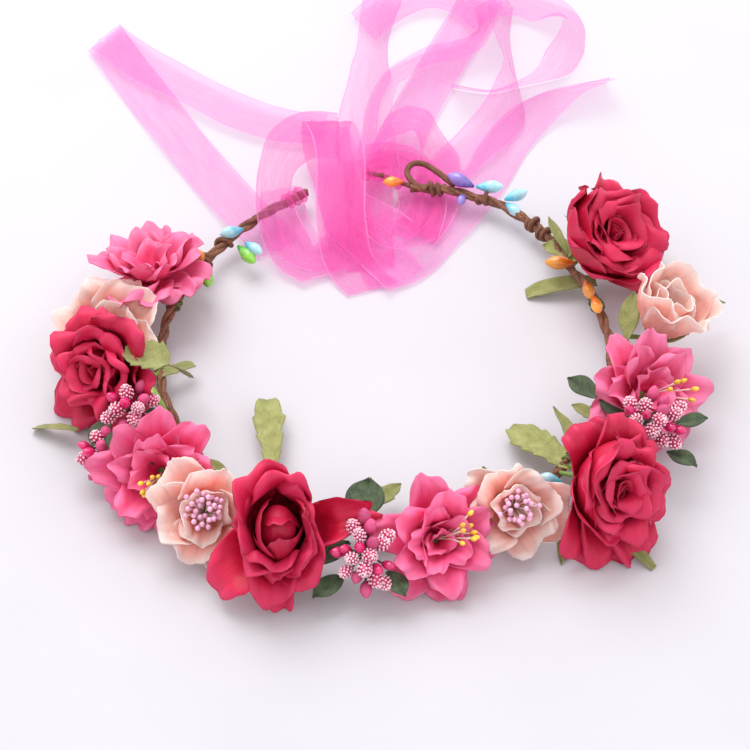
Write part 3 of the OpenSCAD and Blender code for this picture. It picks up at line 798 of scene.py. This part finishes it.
def wound(cloth, centre, at, turns, out, radius, pitch, seed):
    """A strand wound tightly round the vine at one place on its line, as a knot."""
    side, up = frames(centre)
    spacing = np.linalg.norm(centre[1] - centre[0])
    rng = random.Random(seed)
    count = int(turns * 16)
    t = np.linspace(-0.5, 0.5, count)
    index = at + t * turns * pitch / spacing
    k = np.clip(index.astype(int), 0, len(centre) - 2)
    f = np.clip(index - k, 0, 1)[:, None]
    line = centre[k] * (1 - f) + centre[k + 1] * f
    angle = TAU * turns * t
    swell = out * (0.86 + 0.14 * np.cos(math.pi * t)) + 0.35 * np.sin(angle * 0.5 + rng.uniform(0, TAU))
    swell = np.where(np.abs(t) > 0.46, swell * 0.72, swell)
    path = line + (side[k] * np.cos(angle)[:, None] + up[k] * np.sin(angle)[:, None]) * swell[:, None]
    tube(cloth, path, radius * (1 + 0.1 * np.sin(angle * 1.7)), 10, rng.random())


# ================================================================ camera, light and table

CAMERA_PLACE = Vector((-4.4, -648.5, 715.8)) * MM
CAMERA_TILT = math.radians(42)
LENS_MM = 114.0


def make_stage():
    scene = bpy.context.scene
    camera = bpy.data.objects.new("camera", bpy.data.cameras.new("camera"))
    camera.location = CAMERA_PLACE
    camera.rotation_euler = (CAMERA_TILT, 0, 0)
    camera.data.lens = LENS_MM
    camera.data.sensor_width = 36
    camera.data.clip_end = 20
    scene.collection.objects.link(camera)
    scene.camera = camera

    world = bpy.data.worlds.new("studio")
    world.use_nodes = True
    background = world.node_tree.nodes["Background"]
    background.inputs["Color"].default_value = (1.0, 0.985, 0.99, 1)
    background.inputs["Strength"].default_value = 0.96
    scene.world = world
    for name, place, size, power in (
        ("key", (-0.35, 0.75, 1.5), 1.3, 21.0),
        ("fill", (0.9, -0.9, 1.3), 1.6, 3.0),
    ):
        light = bpy.data.objects.new(name, bpy.data.lights.new(name, "AREA"))
        light.data.size = size
        light.data.energy = power
        light.location = place
        light.rotation_euler = (-Vector(place)).to_track_quat("-Z", "Y").to_euler()
        scene.collection.objects.link(light)

    floor_mesh = bpy.data.meshes.new("table_top")
    half = 6.0
    floor_mesh.from_pydata([(-half, -half, 0), (half, -half, 0), (half, half, 0), (-half, half, 0)],
                           [], [(0, 1, 2, 3)])
    s = Shader("pale_table")
    mottle = s.noise(12, 3)
    colour = s.ramp(mottle, [(0.3, srgb("#D0CDD4")), (0.7, srgb("#D4D1D8"))])
    top = s.add("BsdfPrincipled", {"Base Color": colour, "Roughness": 0.65, "Specular IOR Level": 0.2,
                                   "Normal": s.bump(s.noise(600, 3), 0.05, 0.1)})
    floor_mesh.materials.append(s.surface(top.outputs[0]))
    floor = bpy.data.objects.new("table_top", floor_mesh)
    scene.collection.objects.link(floor)
    scene.view_settings.view_transform = "Standard"
    scene.cycles.transparent_max_bounces = 32


make_stage()

# ================================================================ flowers

feet = {}
for name, spec in ROSES.items():
    feet["rose", name] = make_rose(name, **spec)
for name, spec in LILIES.items():
    feet["lily", name] = make_bloom("lily", name, spec, LILY_PETALS, LILY_SHAPE, LILY_DEPTH, HOT_PINK,
                                    HOT_PINK_EDGE, "hot_pink_fabric")
for name, spec in PEACHES.items():
    feet["peach", name] = make_bloom("peach", name, spec, PEACH_PETALS, PEACH_SHAPE, PEACH_DEPTH, PEACH,
                                     PEACH_EDGE, "peach_fabric")

for kind, specs, shape, tip_material, slot in (
    ("lily", LILIES, egg(3.6, 0.95), YELLOW, "yellow_stamen"),
    ("peach", PEACHES, egg(2.6, 1.1), PEARL, "pearl_pink"),
):
    tips, stalks = Cloth(), Cloth()
    rng = random.Random(len(kind))
    for name, spec in specs.items():
        if spec["stamens"]:
            stamens(tips, stalks, feet[kind, name][0], rng, spec, shape)
    finished(tips.make(f"{kind}_stamen_tips", tip_material), "garland", slot, f"{kind}_stamens")
    finished(stalks.make(f"{kind}_stamen_stalks", PALE_STALK), "garland", slot)

for kind, size in (("rose", 1.2), ("lily", 1.0), ("peach", 1.0)):
    green = Cloth()
    rng = random.Random(7 + len(kind))
    for (own_kind, name), (foot, turn) in feet.items():
        if own_kind == kind:
            own = (PEACHES if kind == "peach" else {}).get(name, {}).get("sepals")
            calyx(green, foot, turn, rng, 8.0, own[0] if own else size, *(own[1:] if own else ()))
    finished(green.make(f"{kind}_calyx_sepals", SEPAL), "garland", "green_plastic", f"{kind}_calyxes")

# ================================================================ berries


def dotted_berry(core, beads, place, turn, radius, length, rng, bead_r=0.52, count=56):
    """A dark oval rolled in sugar beads."""
    lathe(core, egg(length, radius), place, turn, 10, rng.random())
    for k in range(count):
        share = (k + 0.5) / count
        angle = TAU * k * 0.618
        r = radius * math.sin(math.pi * share) ** 0.62
        spot = np.array((r * math.cos(angle), r * math.sin(angle), length * share))
        lathe(beads, egg(bead_r * 2, bead_r, 5), turn @ spot + place - turn[:, 2] * bead_r, turn, 6,
              rng.random())


def berry_cluster(parts, name, middle, axis, spread, count, rng):
    """Berries packed on a low dome: half of them sugared, the rest glossy or fuzzy."""
    cores, beads, gloss, fuzz, stems = parts
    middle = np.asarray(middle, float)
    turn = facing(axis)
    foot = middle - turn[:, 2] * 12
    foot[2] = max(foot[2], 2.0)
    for k in range(count):
        angle = TAU * (k * 0.382 + rng.uniform(-0.03, 0.03))
        out = math.sqrt((k + 0.5) / count)
        flat = np.array((spread[0] * out * math.cos(angle), spread[1] * out * math.sin(angle),
                         5 * (1 - out ** 2) + rng.uniform(-1, 1.4)))
        spot = turn @ flat + middle
        length = rng.uniform(6.6, 8.2)
        way = unit(turn @ np.array((1.5 * flat[0] / spread[0], 1.5 * flat[1] / spread[1], 1.0)))
        heading = facing(way)
        start = spot - way * length / 2
        start[2] = max(start[2], 2.4)
        tube(stems, bent([foot, (foot + start) / 2 + (0, 0, 0.6), start], 6), 0.4, 5)
        if k % 4 == 1:
            lathe(gloss, egg(length, length * 0.27, point=0.15), start, heading, 12, rng.random())
        elif k % 4 == 3:
            lathe(fuzz, egg(length * 1.05, length * 0.31, 14), start, heading, 18, rng.random())
        else:
            dotted_berry(cores, beads, start, heading, length * 0.34, length, rng)
    return foot


# Clusters of each spray: middle, way out, half width and half height, and number of berries
BERRY_CLUSTERS = {
    "left": (((-98, -44, 25), (0.1, -0.60, 0.79), (10.5, 9.5), 14), ((-110, -57, 13), (-0.35, -0.74, 0.57), (7.5, 9.0), 12)),
    "front": (((-8, -110, 18), (0.0, -0.64, 0.77), (10.5, 14.0), 20),),
    "right": (((101, -53, 28), (0.15, -0.60, 0.79), (14.0, 10.5), 20),),
}
spray_stems = Cloth()
for number, (name, clusters) in enumerate(BERRY_CLUSTERS.items()):
    rng = random.Random(131 + number)
    parts = (Cloth(), Cloth(), Cloth(), Cloth(), spray_stems)
    for middle, axis, spread, count in clusters:
        foot = berry_cluster(parts, name, middle, axis, spread, count, rng)
        spot = on_ring(math.degrees(math.atan2(foot[1], foot[0])))
        tube(spray_stems, bent([foot, (foot + spot) / 2 + (0, 0, 1), spot], 8), 0.9, 7)
    cores, beads, gloss, fuzz, _ = parts
    finished(cores.make(f"berries_{name}_cores", BERRY_CORE), "garland", "magenta_berry", f"berries_{name}")
    finished(beads.make(f"berries_{name}_sugar", SUGAR), "garland", "magenta_berry")
    finished(gloss.make(f"berries_{name}_glossy", BERRY_GLOSS), "garland", "magenta_berry")
    finished(fuzz.make(f"berries_{name}_fuzzy", BERRY_FUZZ), "garland", "magenta_berry")
finished(spray_stems.make("berry_spray_wires", DARK_LEAF), "garland", "green_plastic", "berry_spray_stems")

# ================================================================ leaves


def leaf(cloth, start, heading, length, width, rng, lift=8.0, arch=14.0, teeth=5, roll=0.0, outline=None):
    """A cut leaf with stepped teeth, which rises by lift degrees and arches over by arch."""
    rows, cols = 34, 9
    t, v = np.meshgrid(np.linspace(0, 1, rows), np.linspace(-1, 1, cols), indexing="ij")
    body = eased(t, outline or (0.12, 0.62, 0.95, 1.0, 0.72, 0.04))
    step = (t * teeth) % 1.0
    body = body * (1 + (0.24 * (step - 0.5) if teeth else 0))
    slope = np.radians(lift + arch * (0.5 - t))
    x = length * t * np.cos(slope)
    z = length * t * np.sin(slope) + 0.10 * width * (np.abs(v) ** 1.5) - 0.35 * np.exp(-(v / 0.12) ** 2)
    y = v * width / 2 * body
    points = wander(np.stack([x, y, z], -1), 8.0, 0.7, rng.uniform(0, 90))
    turn = Matrix.Rotation(math.radians(heading), 3, "Z") @ Matrix.Rotation(math.radians(roll), 3, "X")
    points = points @ np.array(turn).T + np.asarray(start, float)
    points[..., 2] = np.maximum(points[..., 2], 0.6)
    tint = np.stack([t, np.abs(v), np.full_like(t, rng.random())], -1)
    cloth.patch(points, tint)


UPRIGHT = (0.3, 0.34, 0.4, 0.5, 0.6, 0.72, 0.86, 0.96, 1.0, 0.9, 0.66)
STRIP = (0.7, 0.9, 1.0, 1.0, 0.95, 0.7)
HOLLY = (0.5, 0.95, 1.0, 0.98, 0.86, 0.3)
BROAD_TIP = (0.5, 0.75, 0.9, 1.0, 0.95, 0.4)
SPIKE = (1.0, 0.9, 0.75, 0.55, 0.3, 0.05)
# Olive leaves: start, heading, length, width, and anything that differs from leaf()'s own values
OLIVE_LEAVES = {
    "left": (
        ((-84, -31, 38), 170, 18, 15, dict(lift=6, outline=HOLLY, teeth=4, roll=4, arch=6)),
        ((-78, -15, 11), 245, 31, 5, dict(outline=STRIP, teeth=0, lift=57, arch=4)),
        ((-92, -14, 10), 33, 18, 5, dict(outline=STRIP, teeth=2, lift=-4)),
        ((-122, -40, 7), 150, 20, 6, dict(teeth=2, lift=-14, outline=STRIP, roll=30)),
    ),
    "front": (
        ((-43, -72, 9), 95, 49, 12, dict(outline=UPRIGHT, teeth=5, lift=-2, arch=2)),
        ((-9, -82, 8), 42, 20, 8, dict(teeth=3)),
        ((-58, -72, 14), 142, 17, 5, dict(teeth=0, lift=14)),
        ((39, -88, 18), 98, 17, 8, dict(teeth=4, lift=25)),
        ((45, -84, 14), 60, 14, 6, dict(teeth=3, lift=10)),
    ),
    "right": (
        ((74, -62, 10), 136, 36, 13, dict(outline=BROAD_TIP, teeth=6, lift=-5, arch=6)),
        ((76, -56, 12), 112, 27, 8, dict(outline=SPIKE, teeth=0, lift=4)),
        ((69, -80, 6), 262, 22, 5, dict(teeth=0, lift=-8)),
        ((86, -89, 5), 318, 21, 5, dict(outline=STRIP, teeth=0, lift=-8)),
        ((84, -40, 14), 150, 13, 6, dict(teeth=2, lift=10)),
        ((124, 18, 18), 18, 16, 4, dict(teeth=0, lift=-6)),
        ((97, 0, 15), 72, 22, 9, dict(teeth=0, lift=28, roll=-20)),
        ((106, 1, 16), 8, 16, 9, dict(teeth=0, lift=8)),
    ),
    "back": (
        ((88, 44, 5), 186, 30, 8, dict(outline=STRIP, teeth=0, lift=-2)),
        ((80, 55, 9), 158, 15, 11, dict(teeth=2)),
        ((76, 54, 10), 112, 20, 4, dict(teeth=0, lift=22)),
    ),
}
for side, leaves in OLIVE_LEAVES.items():
    cloth = Cloth()
    rng = random.Random(151 + len(side))
    for start, heading, length, width, extra in leaves:
        leaf(cloth, start, heading, length, width, rng, **extra)
    finished(cloth.make(f"leaves_{side}_cloth", OLIVE, 0.3), "garland", "olive_fabric", f"leaves_{side}")

# Dark leaves behind the berry sprays: start, heading, length, width
DARK_LEAVES = (
    ((84, -30, 14), 140, 16, 9), ((90, -32, 15), 100, 12, 7),
    ((-108, -44, 17), 250, 15, 9), ((-100, -50, 20), 245, 14, 8), ((-92, -56, 18), 285, 12, 7),
    ((-10, -92, 14), 80, 20, 15), ((-14, -100, 12), 215, 20, 11), ((-16, -112, 7), 225, 16, 9),
    ((0, -112, 10), 300, 14, 8), ((94, -44, 18), 140, 14, 8), ((108, -58, 16), 320, 14, 8),
    ((112, -48, 20), 10, 13, 7),
)
cloth = Cloth()
rng = random.Random(163)
for start, heading, length, width in DARK_LEAVES:
    leaf(cloth, start, heading, length, width, rng, lift=12, teeth=0)
finished(cloth.make("dark_spray_leaves", DARK_LEAF, 0.3), "garland", "dark_leaf")

# ================================================================ vine, knots, tape and wraps

LEFT_HINGE = np.array((-82.5, 38.5, VINE_Z))
RIGHT_HINGE = np.array((76.3, 49.6, VINE_Z))
BEND_REACH = 8.0
STRAND_R = 1.05
for name, centre, hinge, way, arm in (
    ("left", LEFT_HALF, LEFT_HINGE, (0.42, 0.906, 0), "left_arm"),
    ("right", RIGHT_HALF, RIGHT_HINGE, (-0.54, 0.84, 0), "right_arm"),
):
    cloth = Cloth()
    twisted(cloth, centre, 3, 1.1, STRAND_R, 27, 171)
    vine = cloth.make(f"{name}_vine_strands", VINE)
    way = np.array(way) * BEND_REACH
    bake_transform(vine)
    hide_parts(f"{arm}_strands", *(["ring_vine_strands"] if name == "left" else []))

RING_STEPS_LEFT = len(LEFT_HALF) - len(arc(**LEFT_ARM))
RING_STEPS_RIGHT = len(RIGHT_HALF) - len(arc(**RIGHT_ARM))
cloth = Cloth()
wound(cloth, LEFT_HALF, RING_STEPS_LEFT + 12, 1.6, 2.9, 1.15, 2.6, 181)
wound(cloth, LEFT_HALF, RING_STEPS_LEFT + 24, 1.2, 2.6, 1.0, 6.5, 182)
finished(cloth.make("left_knot_winding", VINE), "left_arm", "brown_paper_vine", "left_arm_knot")
cloth = Cloth()
wound(cloth, RIGHT_HALF, RING_STEPS_RIGHT + 17, 1.5, 2.7, 1.1, 2.4, 183)
wound(cloth, RIGHT_HALF, RING_STEPS_RIGHT + 23, 1.4, 2.8, 1.1, 2.4, 184)
wound(cloth, RIGHT_HALF, RING_STEPS_RIGHT + 44, 1.1, 2.6, 1.0, 4.5, 186)
# The end of the right arm: a hairpin eye, a coiled tail, and a thin end that runs on to the wrap
EYE_LINE = [(30, 96.5, 10), (24, 101, 12.5), (17, 107, 13), (11.5, 107.5, 12.5), (9.5, 103, 11.5),
            (12.5, 97.5, 10.5), (18, 94.5, 10)]
tube(cloth, bent(EYE_LINE, 44), 1.3, 10)
wound(cloth, RIGHT_HALF, len(RIGHT_HALF) - 10, 2.2, 2.6, 0.95, 3.0, 185)
tube(cloth, bent([(14, 96, 9), (6, 99, 10), (0, 101.5, 11), (-7, 103.6, 11)], 16), 1.0, 10)
finished(cloth.make("right_knot_and_eye", VINE), "right_arm", "brown_paper_vine", "right_arm_knot")

TAPE_ANGLES = (162, 185, 210, 240, 257, 290, 322, 351, 17)
cloth = Cloth()
for angle in TAPE_ANGLES:
    spot = int((angle - RING_FRONT) / (RING_RIGHT - RING_FRONT) * RING_STEPS_RIGHT) if angle > 270 else \
        int((RING_FRONT - angle) / (RING_FRONT - RING_LEFT) * RING_STEPS_LEFT)
    line = RIGHT_HALF if angle > 270 else LEFT_HALF
    if angle < 90:
        line = RIGHT_HALF
        spot = int((angle + 360 - RING_FRONT) / (RING_RIGHT - RING_FRONT) * RING_STEPS_RIGHT)
    wound(cloth, line, spot, 4, 2.6, 0.45, 1.5, 190 + angle)
finished(cloth.make("floral_tape_windings", TAPE), "garland", "floral_tape", "floral_tape_wraps")

for node in ("ring_wire_core", "left_arm_wire_core", "right_arm_wire_core"):
    obj = frame["nodes"][node]
    for index in range(max(1, len(obj.material_slots))):
        if obj.material_slots:
            obj.material_slots[index].material = WIRE
        else:
            obj.data.materials.append(WIRE)

# ================================================================ drop buds

# Each bud: where its stem leaves the vine, heading, lift, length and colour
BUDS = {
    "ring": (
        ((82, 35, 15), 283, -6, 10, ORANGE), ((85, 27, 14), 284, -8, 9, ORANGE),
        ((79, 47, 13), 180, 2, 13, ORANGE), ((67, -70, 12), 168, 10, 9, BLUE), ((65, -73, 10), 205, 0, 6, BLUE),
    ),
    "left": (
        ((-76, 47, 13), 110, 30, 6, ORANGE), ((-76, 44, 13), 200, 10, 5, ORANGE),
        ((-75, 42, 12), 250, 0, 5, ORANGE), ((-74, 44, 12), 274, 0, 10, GREEN),
        ((-77, 37, 11), 212, 0, 8, GREEN), ((-60, 68, 12), 206, 8, 11, BLUE),
        ((-59, 60, 12), 319, 0, 10, BLUE), ((-62, 60, 10), 309, -4, 12, GREEN),
    ),
    "right": (
        ((8, 97, 12), 180, 0, 9, ORANGE), ((38, 93, 13), 151, 6, 13, PURPLE),
        ((39, 94, 12), 0, 0, 12, BLUE), ((51, 86, 12), 24, 4, 11, BLUE),
        ((51, 86, 10), 315, -4, 10, BLUE), ((34, 93, 9), 250, -4, 7, PURPLE),
    ),
}
BUD_BODY = {"ring": "garland", "left": "left_arm", "right": "right_arm"}


def bud(cloth, place, heading, lift, length, rng):
    """A drop on a short stem: narrow at the foot and round at the tip."""
    a, b = math.radians(heading), math.radians(lift)
    way = np.array((math.cos(a) * math.cos(b), math.sin(a) * math.cos(b), math.sin(b)))
    t = np.linspace(0.0, 1, 15)
    shape = 2.3 * np.sin(math.pi * t ** 1.3) ** 0.8 + 0.45 * (1 - t) + 0.05
    profile = np.stack([shape * (length / 10) ** 0.6, t * length], -1)
    lathe(cloth, profile, np.asarray(place, float), facing(way), 16, rng.random())


for side, buds in BUDS.items():
    by_colour = {}
    rng = random.Random(211 + len(side))
    for place, heading, lift, length, material in buds:
        cloth = by_colour.setdefault(material.name, (material, Cloth()))[1]
        bud(cloth, place, heading, lift, length, rng)
    for number, (name, (material, cloth)) in enumerate(by_colour.items()):
        slot = name if name in ("orange_bud", "green_bud", "blue_bud") else "blue_bud"
        stands_for = [f"drop_buds_{side}"] if number == 0 else []
        finished(cloth.make(f"{side}_{name}s", material), BUD_BODY[side], slot, *stands_for)

cloth = Cloth()
tube(cloth, bent([(-86, -34, 10), (-90, -30, 13), (-94, -24, 14), (-96, -19, 13)], 14),
     [0.9, 1.1, 1.3, 1.6, 1.9, 2.2, 2.4, 2.4, 2.3, 2.0, 1.7, 1.4, 1.0, 0.6], 10)
finished(cloth.make("lime_pod", LIME), "garland", "green_plastic")

# ================================================================ ribbons

RIBBON_W = 21.0
CLEAR_OF_TABLE = 0.7
# A stretch that stands on edge is raised off the table and leans to the front by this much for each mm
LEAN = np.array((0, -0.9, 1.0))


def ribbon(name, run, stands_for=(), wave=0.6, seed=1, look=None):
    """A run of ribbon of even width. Each point is x, y, z, then the plan heading and the tilt, in
    degrees, of the line across the ribbon there."""
    run = np.asarray(run, float)
    fine = eased(np.linspace(0, 1, 60), run)
    length = float(np.linalg.norm(np.diff(fine[:, :3], axis=0), axis=1).sum())
    rows, cols = max(14, int(length / 1.6)), 19
    t = np.linspace(0, 1, rows)
    heading, tilt = np.radians(run[:, 3]), np.radians(run[:, 4])
    turned = np.stack([np.cos(heading) * np.cos(tilt), np.sin(heading) * np.cos(tilt), np.sin(tilt)], -1)
    middle, across = eased(t, run)[:, :3], unit(eased(t, turned))
    along = unit(np.gradient(middle, axis=0))
    # A slanting fold line is longer than the ribbon is wide
    squareness = np.linalg.norm(np.cross(across, along), axis=-1)
    reach = RIBBON_W / 2 / np.clip(squareness, 0.75, 1)
    lift = np.maximum(reach * np.abs(across[:, 2]) + CLEAR_OF_TABLE - middle[:, 2], 0)
    middle = middle + lift[:, None] * LEAN
    v = np.linspace(0, 1, cols)
    grid = middle[:, None] + (across * reach[:, None])[:, None] * (2 * v - 1)[None, :, None]
    face = unit(np.cross(along, across))
    rng = random.Random(seed)
    phase = [rng.uniform(0, TAU) for _ in range(4)]
    gone = (t * length)[:, None]
    inner = np.sin(math.pi * v)[None]
    height = wave * (1.2 * inner * np.sin(gone / 17 + phase[0])
                     + 1.4 * np.sin(gone / 9 + phase[1]) * (v - 0.5)[None]
                     + 0.6 * inner * np.sin(2.5 * TAU * v[None] + gone / 12 + phase[2])
                     + 0.3 * np.sin(4.5 * TAU * v[None] + gone / 6 + phase[3]))
    grid = grid + face[:, None] * height[..., None]
    grid[..., 2] = np.maximum(grid[..., 2], 0.5)
    cloth = Cloth()
    uv = np.stack(np.broadcast_arrays(v[None, :], gone / RIBBON_W), -1)
    cloth.patch(grid, uv=uv)
    obj = finished(cloth.make(name, look or ORGANZA), "garland", "pink_organza", *stands_for)


ribbon("tail_left_lower_cloth",
       [(-130, 205, 2, 56, 0), (-106, 162, 2, 32, 0), (-80, 118, 2, 32, 0), (-60, 87, 3, 34, 0), (-45, 67, 2, 34, 0)],
       ["ribbon_left_tail"], 0.7, 3)
ribbon("tail_left_upper_cloth",
       [(-129, 204, 3, 56, 0), (-108, 182, 4, 48, 0), (-86, 165, 5, 60, 0), (-65, 150, 5, 66, 0),
        (-45, 142, 4, 76, 0), (-27, 140, 4, 82, 0)],
       ["ribbon_left_return"], 0.8, 5)
ribbon("bow_left_cloth",
       [(-20, 122, 16, -85, -30), (-34, 121, 17, -75, -40), (-44, 110, 18, -40, -50), (-47, 94, 18, 0, -50),
        (-47, 83, 16, 25, -35), (-45, 73, 12, 32, -20), (-41, 65, 6, 45, 0), (-35, 58, 3, 66, 0),
        (-28, 60, 3, 80, 0), (-17, 65, 3, 88, 0)],
       ["ribbon_bow_front", "ribbon_bow_rear"], wave=0.5, seed=7, look=DENSE_ORGANZA)
ribbon("bow_inner_cloth",
       [(-28, 128, 14, 10, 0), (-22, 117, 12, 0, -35), (-21, 100, 11, 0, -40), (-20, 86, 9, 0, -35),
        (-16, 74, 7, 15, -20), (-8, 66, 4, 40, 0)], wave=0.8, seed=8)
ribbon("strap_cloth",
       [(-14, 71, 3, 0, 0), (-19, 96, 4, 0, 0), (-24, 116, 7, 0, 0), (-26, 125, 13, 0, 0), (-25, 127, 20, 0, 0),
        (-21, 112, 25, -5, 0), (-19, 97, 24, 0, 0), (-19, 76, 17, 0, 0), (-18, 66, 12, 4, 0), (-16, 58, 6, 4, 0),
        (-11, 50, 2.5, 10, 0), (-5, 43, 1.5, 20, 0)],
       ["ribbon_strap_front", "ribbon_strap_rear"], wave=0.35, seed=9, look=DENSE_ORGANZA)
ribbon("knot_left_fold_cloth",
       [(-46, 99, 6, 50, -30), (-42, 78, 5, 35, 0), (-33, 63, 4, 60, 0), (-17, 66, 4, 85, 0), (-5, 73, 4, 90, 0)],
       wave=0.9, seed=29)
ribbon("knot_middle_fold_cloth",
       [(-8, 119, 4, 0, 0), (-7, 95, 4, 0, 0), (-7, 71, 2, 0, 0), (-6, 55, 1.2, 8, 0)],
       wave=1.0, seed=31, look=DENSE_ORGANZA)
ribbon("knot_right_fold_cloth",
       [(-9, 116, 7, 268, 0), (4, 119, 5, 260, 0), (13, 108, 4, 230, 0), (16, 90, 4, 190, 0), (12, 72, 4, 180, 0)],
       wave=1.0, seed=33, look=DENSE_ORGANZA)
ribbon("knot_cross_fold_cloth",
       [(-25, 82, 6, 255, 0), (-12, 73, 5, 235, 0), (0, 59, 4, 225, 0), (9, 47, 3, 225, 0)], wave=0.9, seed=35)
ribbon("front_sweep_cloth",
       [(-12, 58, 1.5, 105, 0), (-4, 55, 1.5, 100, 0), (5, 55, 1.5, 115, 0), (13, 62, 1.5, 138, 0),
        (22, 75, 1.5, 150, 0), (33, 91, 1.5, 148, 0), (44, 111, 1.5, 158, 0), (54, 133, 1.5, 160, 0),
        (64, 148, 2, 148, 0), (76, 160, 3, 128, -18), (88, 166, 5, 108, -34), (102, 170, 6, 98, -43)],
       ["ribbon_front_sweep", "ribbon_right_tail"], 0.6, 10)
ribbon("rising_left_cloth",
       [(-10, 116, 4, 0, 0), (-12, 132, 10, 0, -35), (-10, 150, 12, 0, -45), (-8, 164, 11, -5, -45),
        (-5, 179, 9, -15, -45), (-5, 193, 8, -25, -45), (-4, 211, 8, -20, -50), (1, 233, 8, 0, -50)],
       ["ribbon_rise"], wave=0.8, seed=11)
ribbon("rising_right_cloth",
       [(-4, 115, 3, -10, 0), (-4, 134, 9, -10, 45), (-1, 156, 10, -25, 50), (5, 171, 8, -65, 30),
        (12, 180, 7, -92, 18), (22, 187, 7, -97, 18), (33, 191, 6, -97, 18), (42, 197, 6, -80, 25),
        (47, 208, 6, -70, 40), (49, 227, 6, -30, 50)], wave=0.8, seed=13)
ribbon("top_arc_cloth",
       [(-10, 210, 4, 120, 0), (-1, 222, 4, 118, 0), (8, 229, 4, 104, 0), (19, 233, 4, 94, 0), (30, 232, 4, 80, 0),
        (40, 227, 4, 62, 0), (48, 216, 4, 45, 0)],
       ["ribbon_top_arc"], 0.9, 15)
ribbon("diagonal_cloth",
       [(46, 235, 2, -20, 0), (39, 216, 2, -24, 0), (31, 197, 2, -22, 0), (12, 150, 2, -20, 0), (0, 112, 2, -15, 0)],
       ["ribbon_diagonal"], 0.5, 17)
ribbon("upright_cloth",
       [(56, 231, 9, -20, -60), (53, 213, 9, -20, -58), (53, 199, 9, -30, -55), (55, 183, 9, -35, -55),
        (58, 164, 9, -50, -50), (56, 153, 8, -55, -35), (50, 143, 5, -48, -18), (41, 131, 4, -38, 0),
        (30, 118, 2, -32, 0), (20, 101, 2, -30, 0)],
       ["ribbon_upright"], wave=0.6, seed=19)
ribbon("loop_right_cloth",
       [(54, 228, 4, 270, 0), (65, 228, 4, 250, 0), (76, 222, 4, 228, 0), (84, 216, 4, 205, 30),
        (87, 207, 6, 188, 55), (86, 195, 8, 185, 58), (80, 182, 8, 205, 55), (72, 172, 8, 245, 52),
        (60, 165, 8, 262, 48), (47, 160, 8, 270, 45), (30, 164, 8, 270, 46)],
       ["ribbon_right_loop", "ribbon_right_loop_return"], wave=0.4, seed=21)
ribbon("swirl_outer_cloth",
       [(-3, 128, 11, 253, 0), (5, 132, 14, 245, 0), (13, 132, 15, 240, 10), (18, 130, 13, 235, 30),
        (22, 123, 8, 226, 20), (23, 114, 5, 208, 5), (23, 101, 2.5, 188, 0), (19, 86, 2.5, 160, 0),
        (13, 75, 2.5, 142, 0)],
       ["ribbon_swirl_front", "ribbon_swirl_rear"], wave=0.7, seed=23, look=DENSE_ORGANZA)
ribbon("swirl_inner_cloth",
       [(-8, 104, 3, 270, 0), (-3, 112, 3, 268, 0), (4, 115, 3, 262, 0), (10, 113, 3, 252, 0),
        (14, 108, 3, 238, 0), (14, 99, 3, 218, 0), (11, 90, 3, 195, 0), (6, 82, 3, 165, 0),
        (0, 77, 3, 140, 0)], wave=0.6, seed=25)
ribbon("swirl_low_cloth",
       [(-13, 86, 8, 260, 0), (-5, 81, 6, 248, 0), (3, 75, 5, 244, 0), (12, 71, 4, 250, 20), (22, 72, 4, 262, 35)],
       wave=0.8, seed=27)

# Short ribbon ends wound round the tips of both arms
for name, arm, line in (
    ("left", "left_arm", LEFT_HALF), ("right", "right_arm", RIGHT_HALF),
):
    cloth = Cloth()
    if name == "left":
        wound(cloth, line, len(line) - 6, 3, 2.4, 1.5, 3.2, 231)
    else:
        end = bent([(6, 99, 10), (0, 101.5, 11), (-8, 104, 11)], 14)
        wound(cloth, end, 7, 4, 2.0, 1.7, 3.2, 233)
    winding = cloth.make(f"{name}_end_ribbon_winding", DENSE_ORGANZA)
    finished(winding, arm, "pink_organza", f"{arm}_ribbon_wrap")
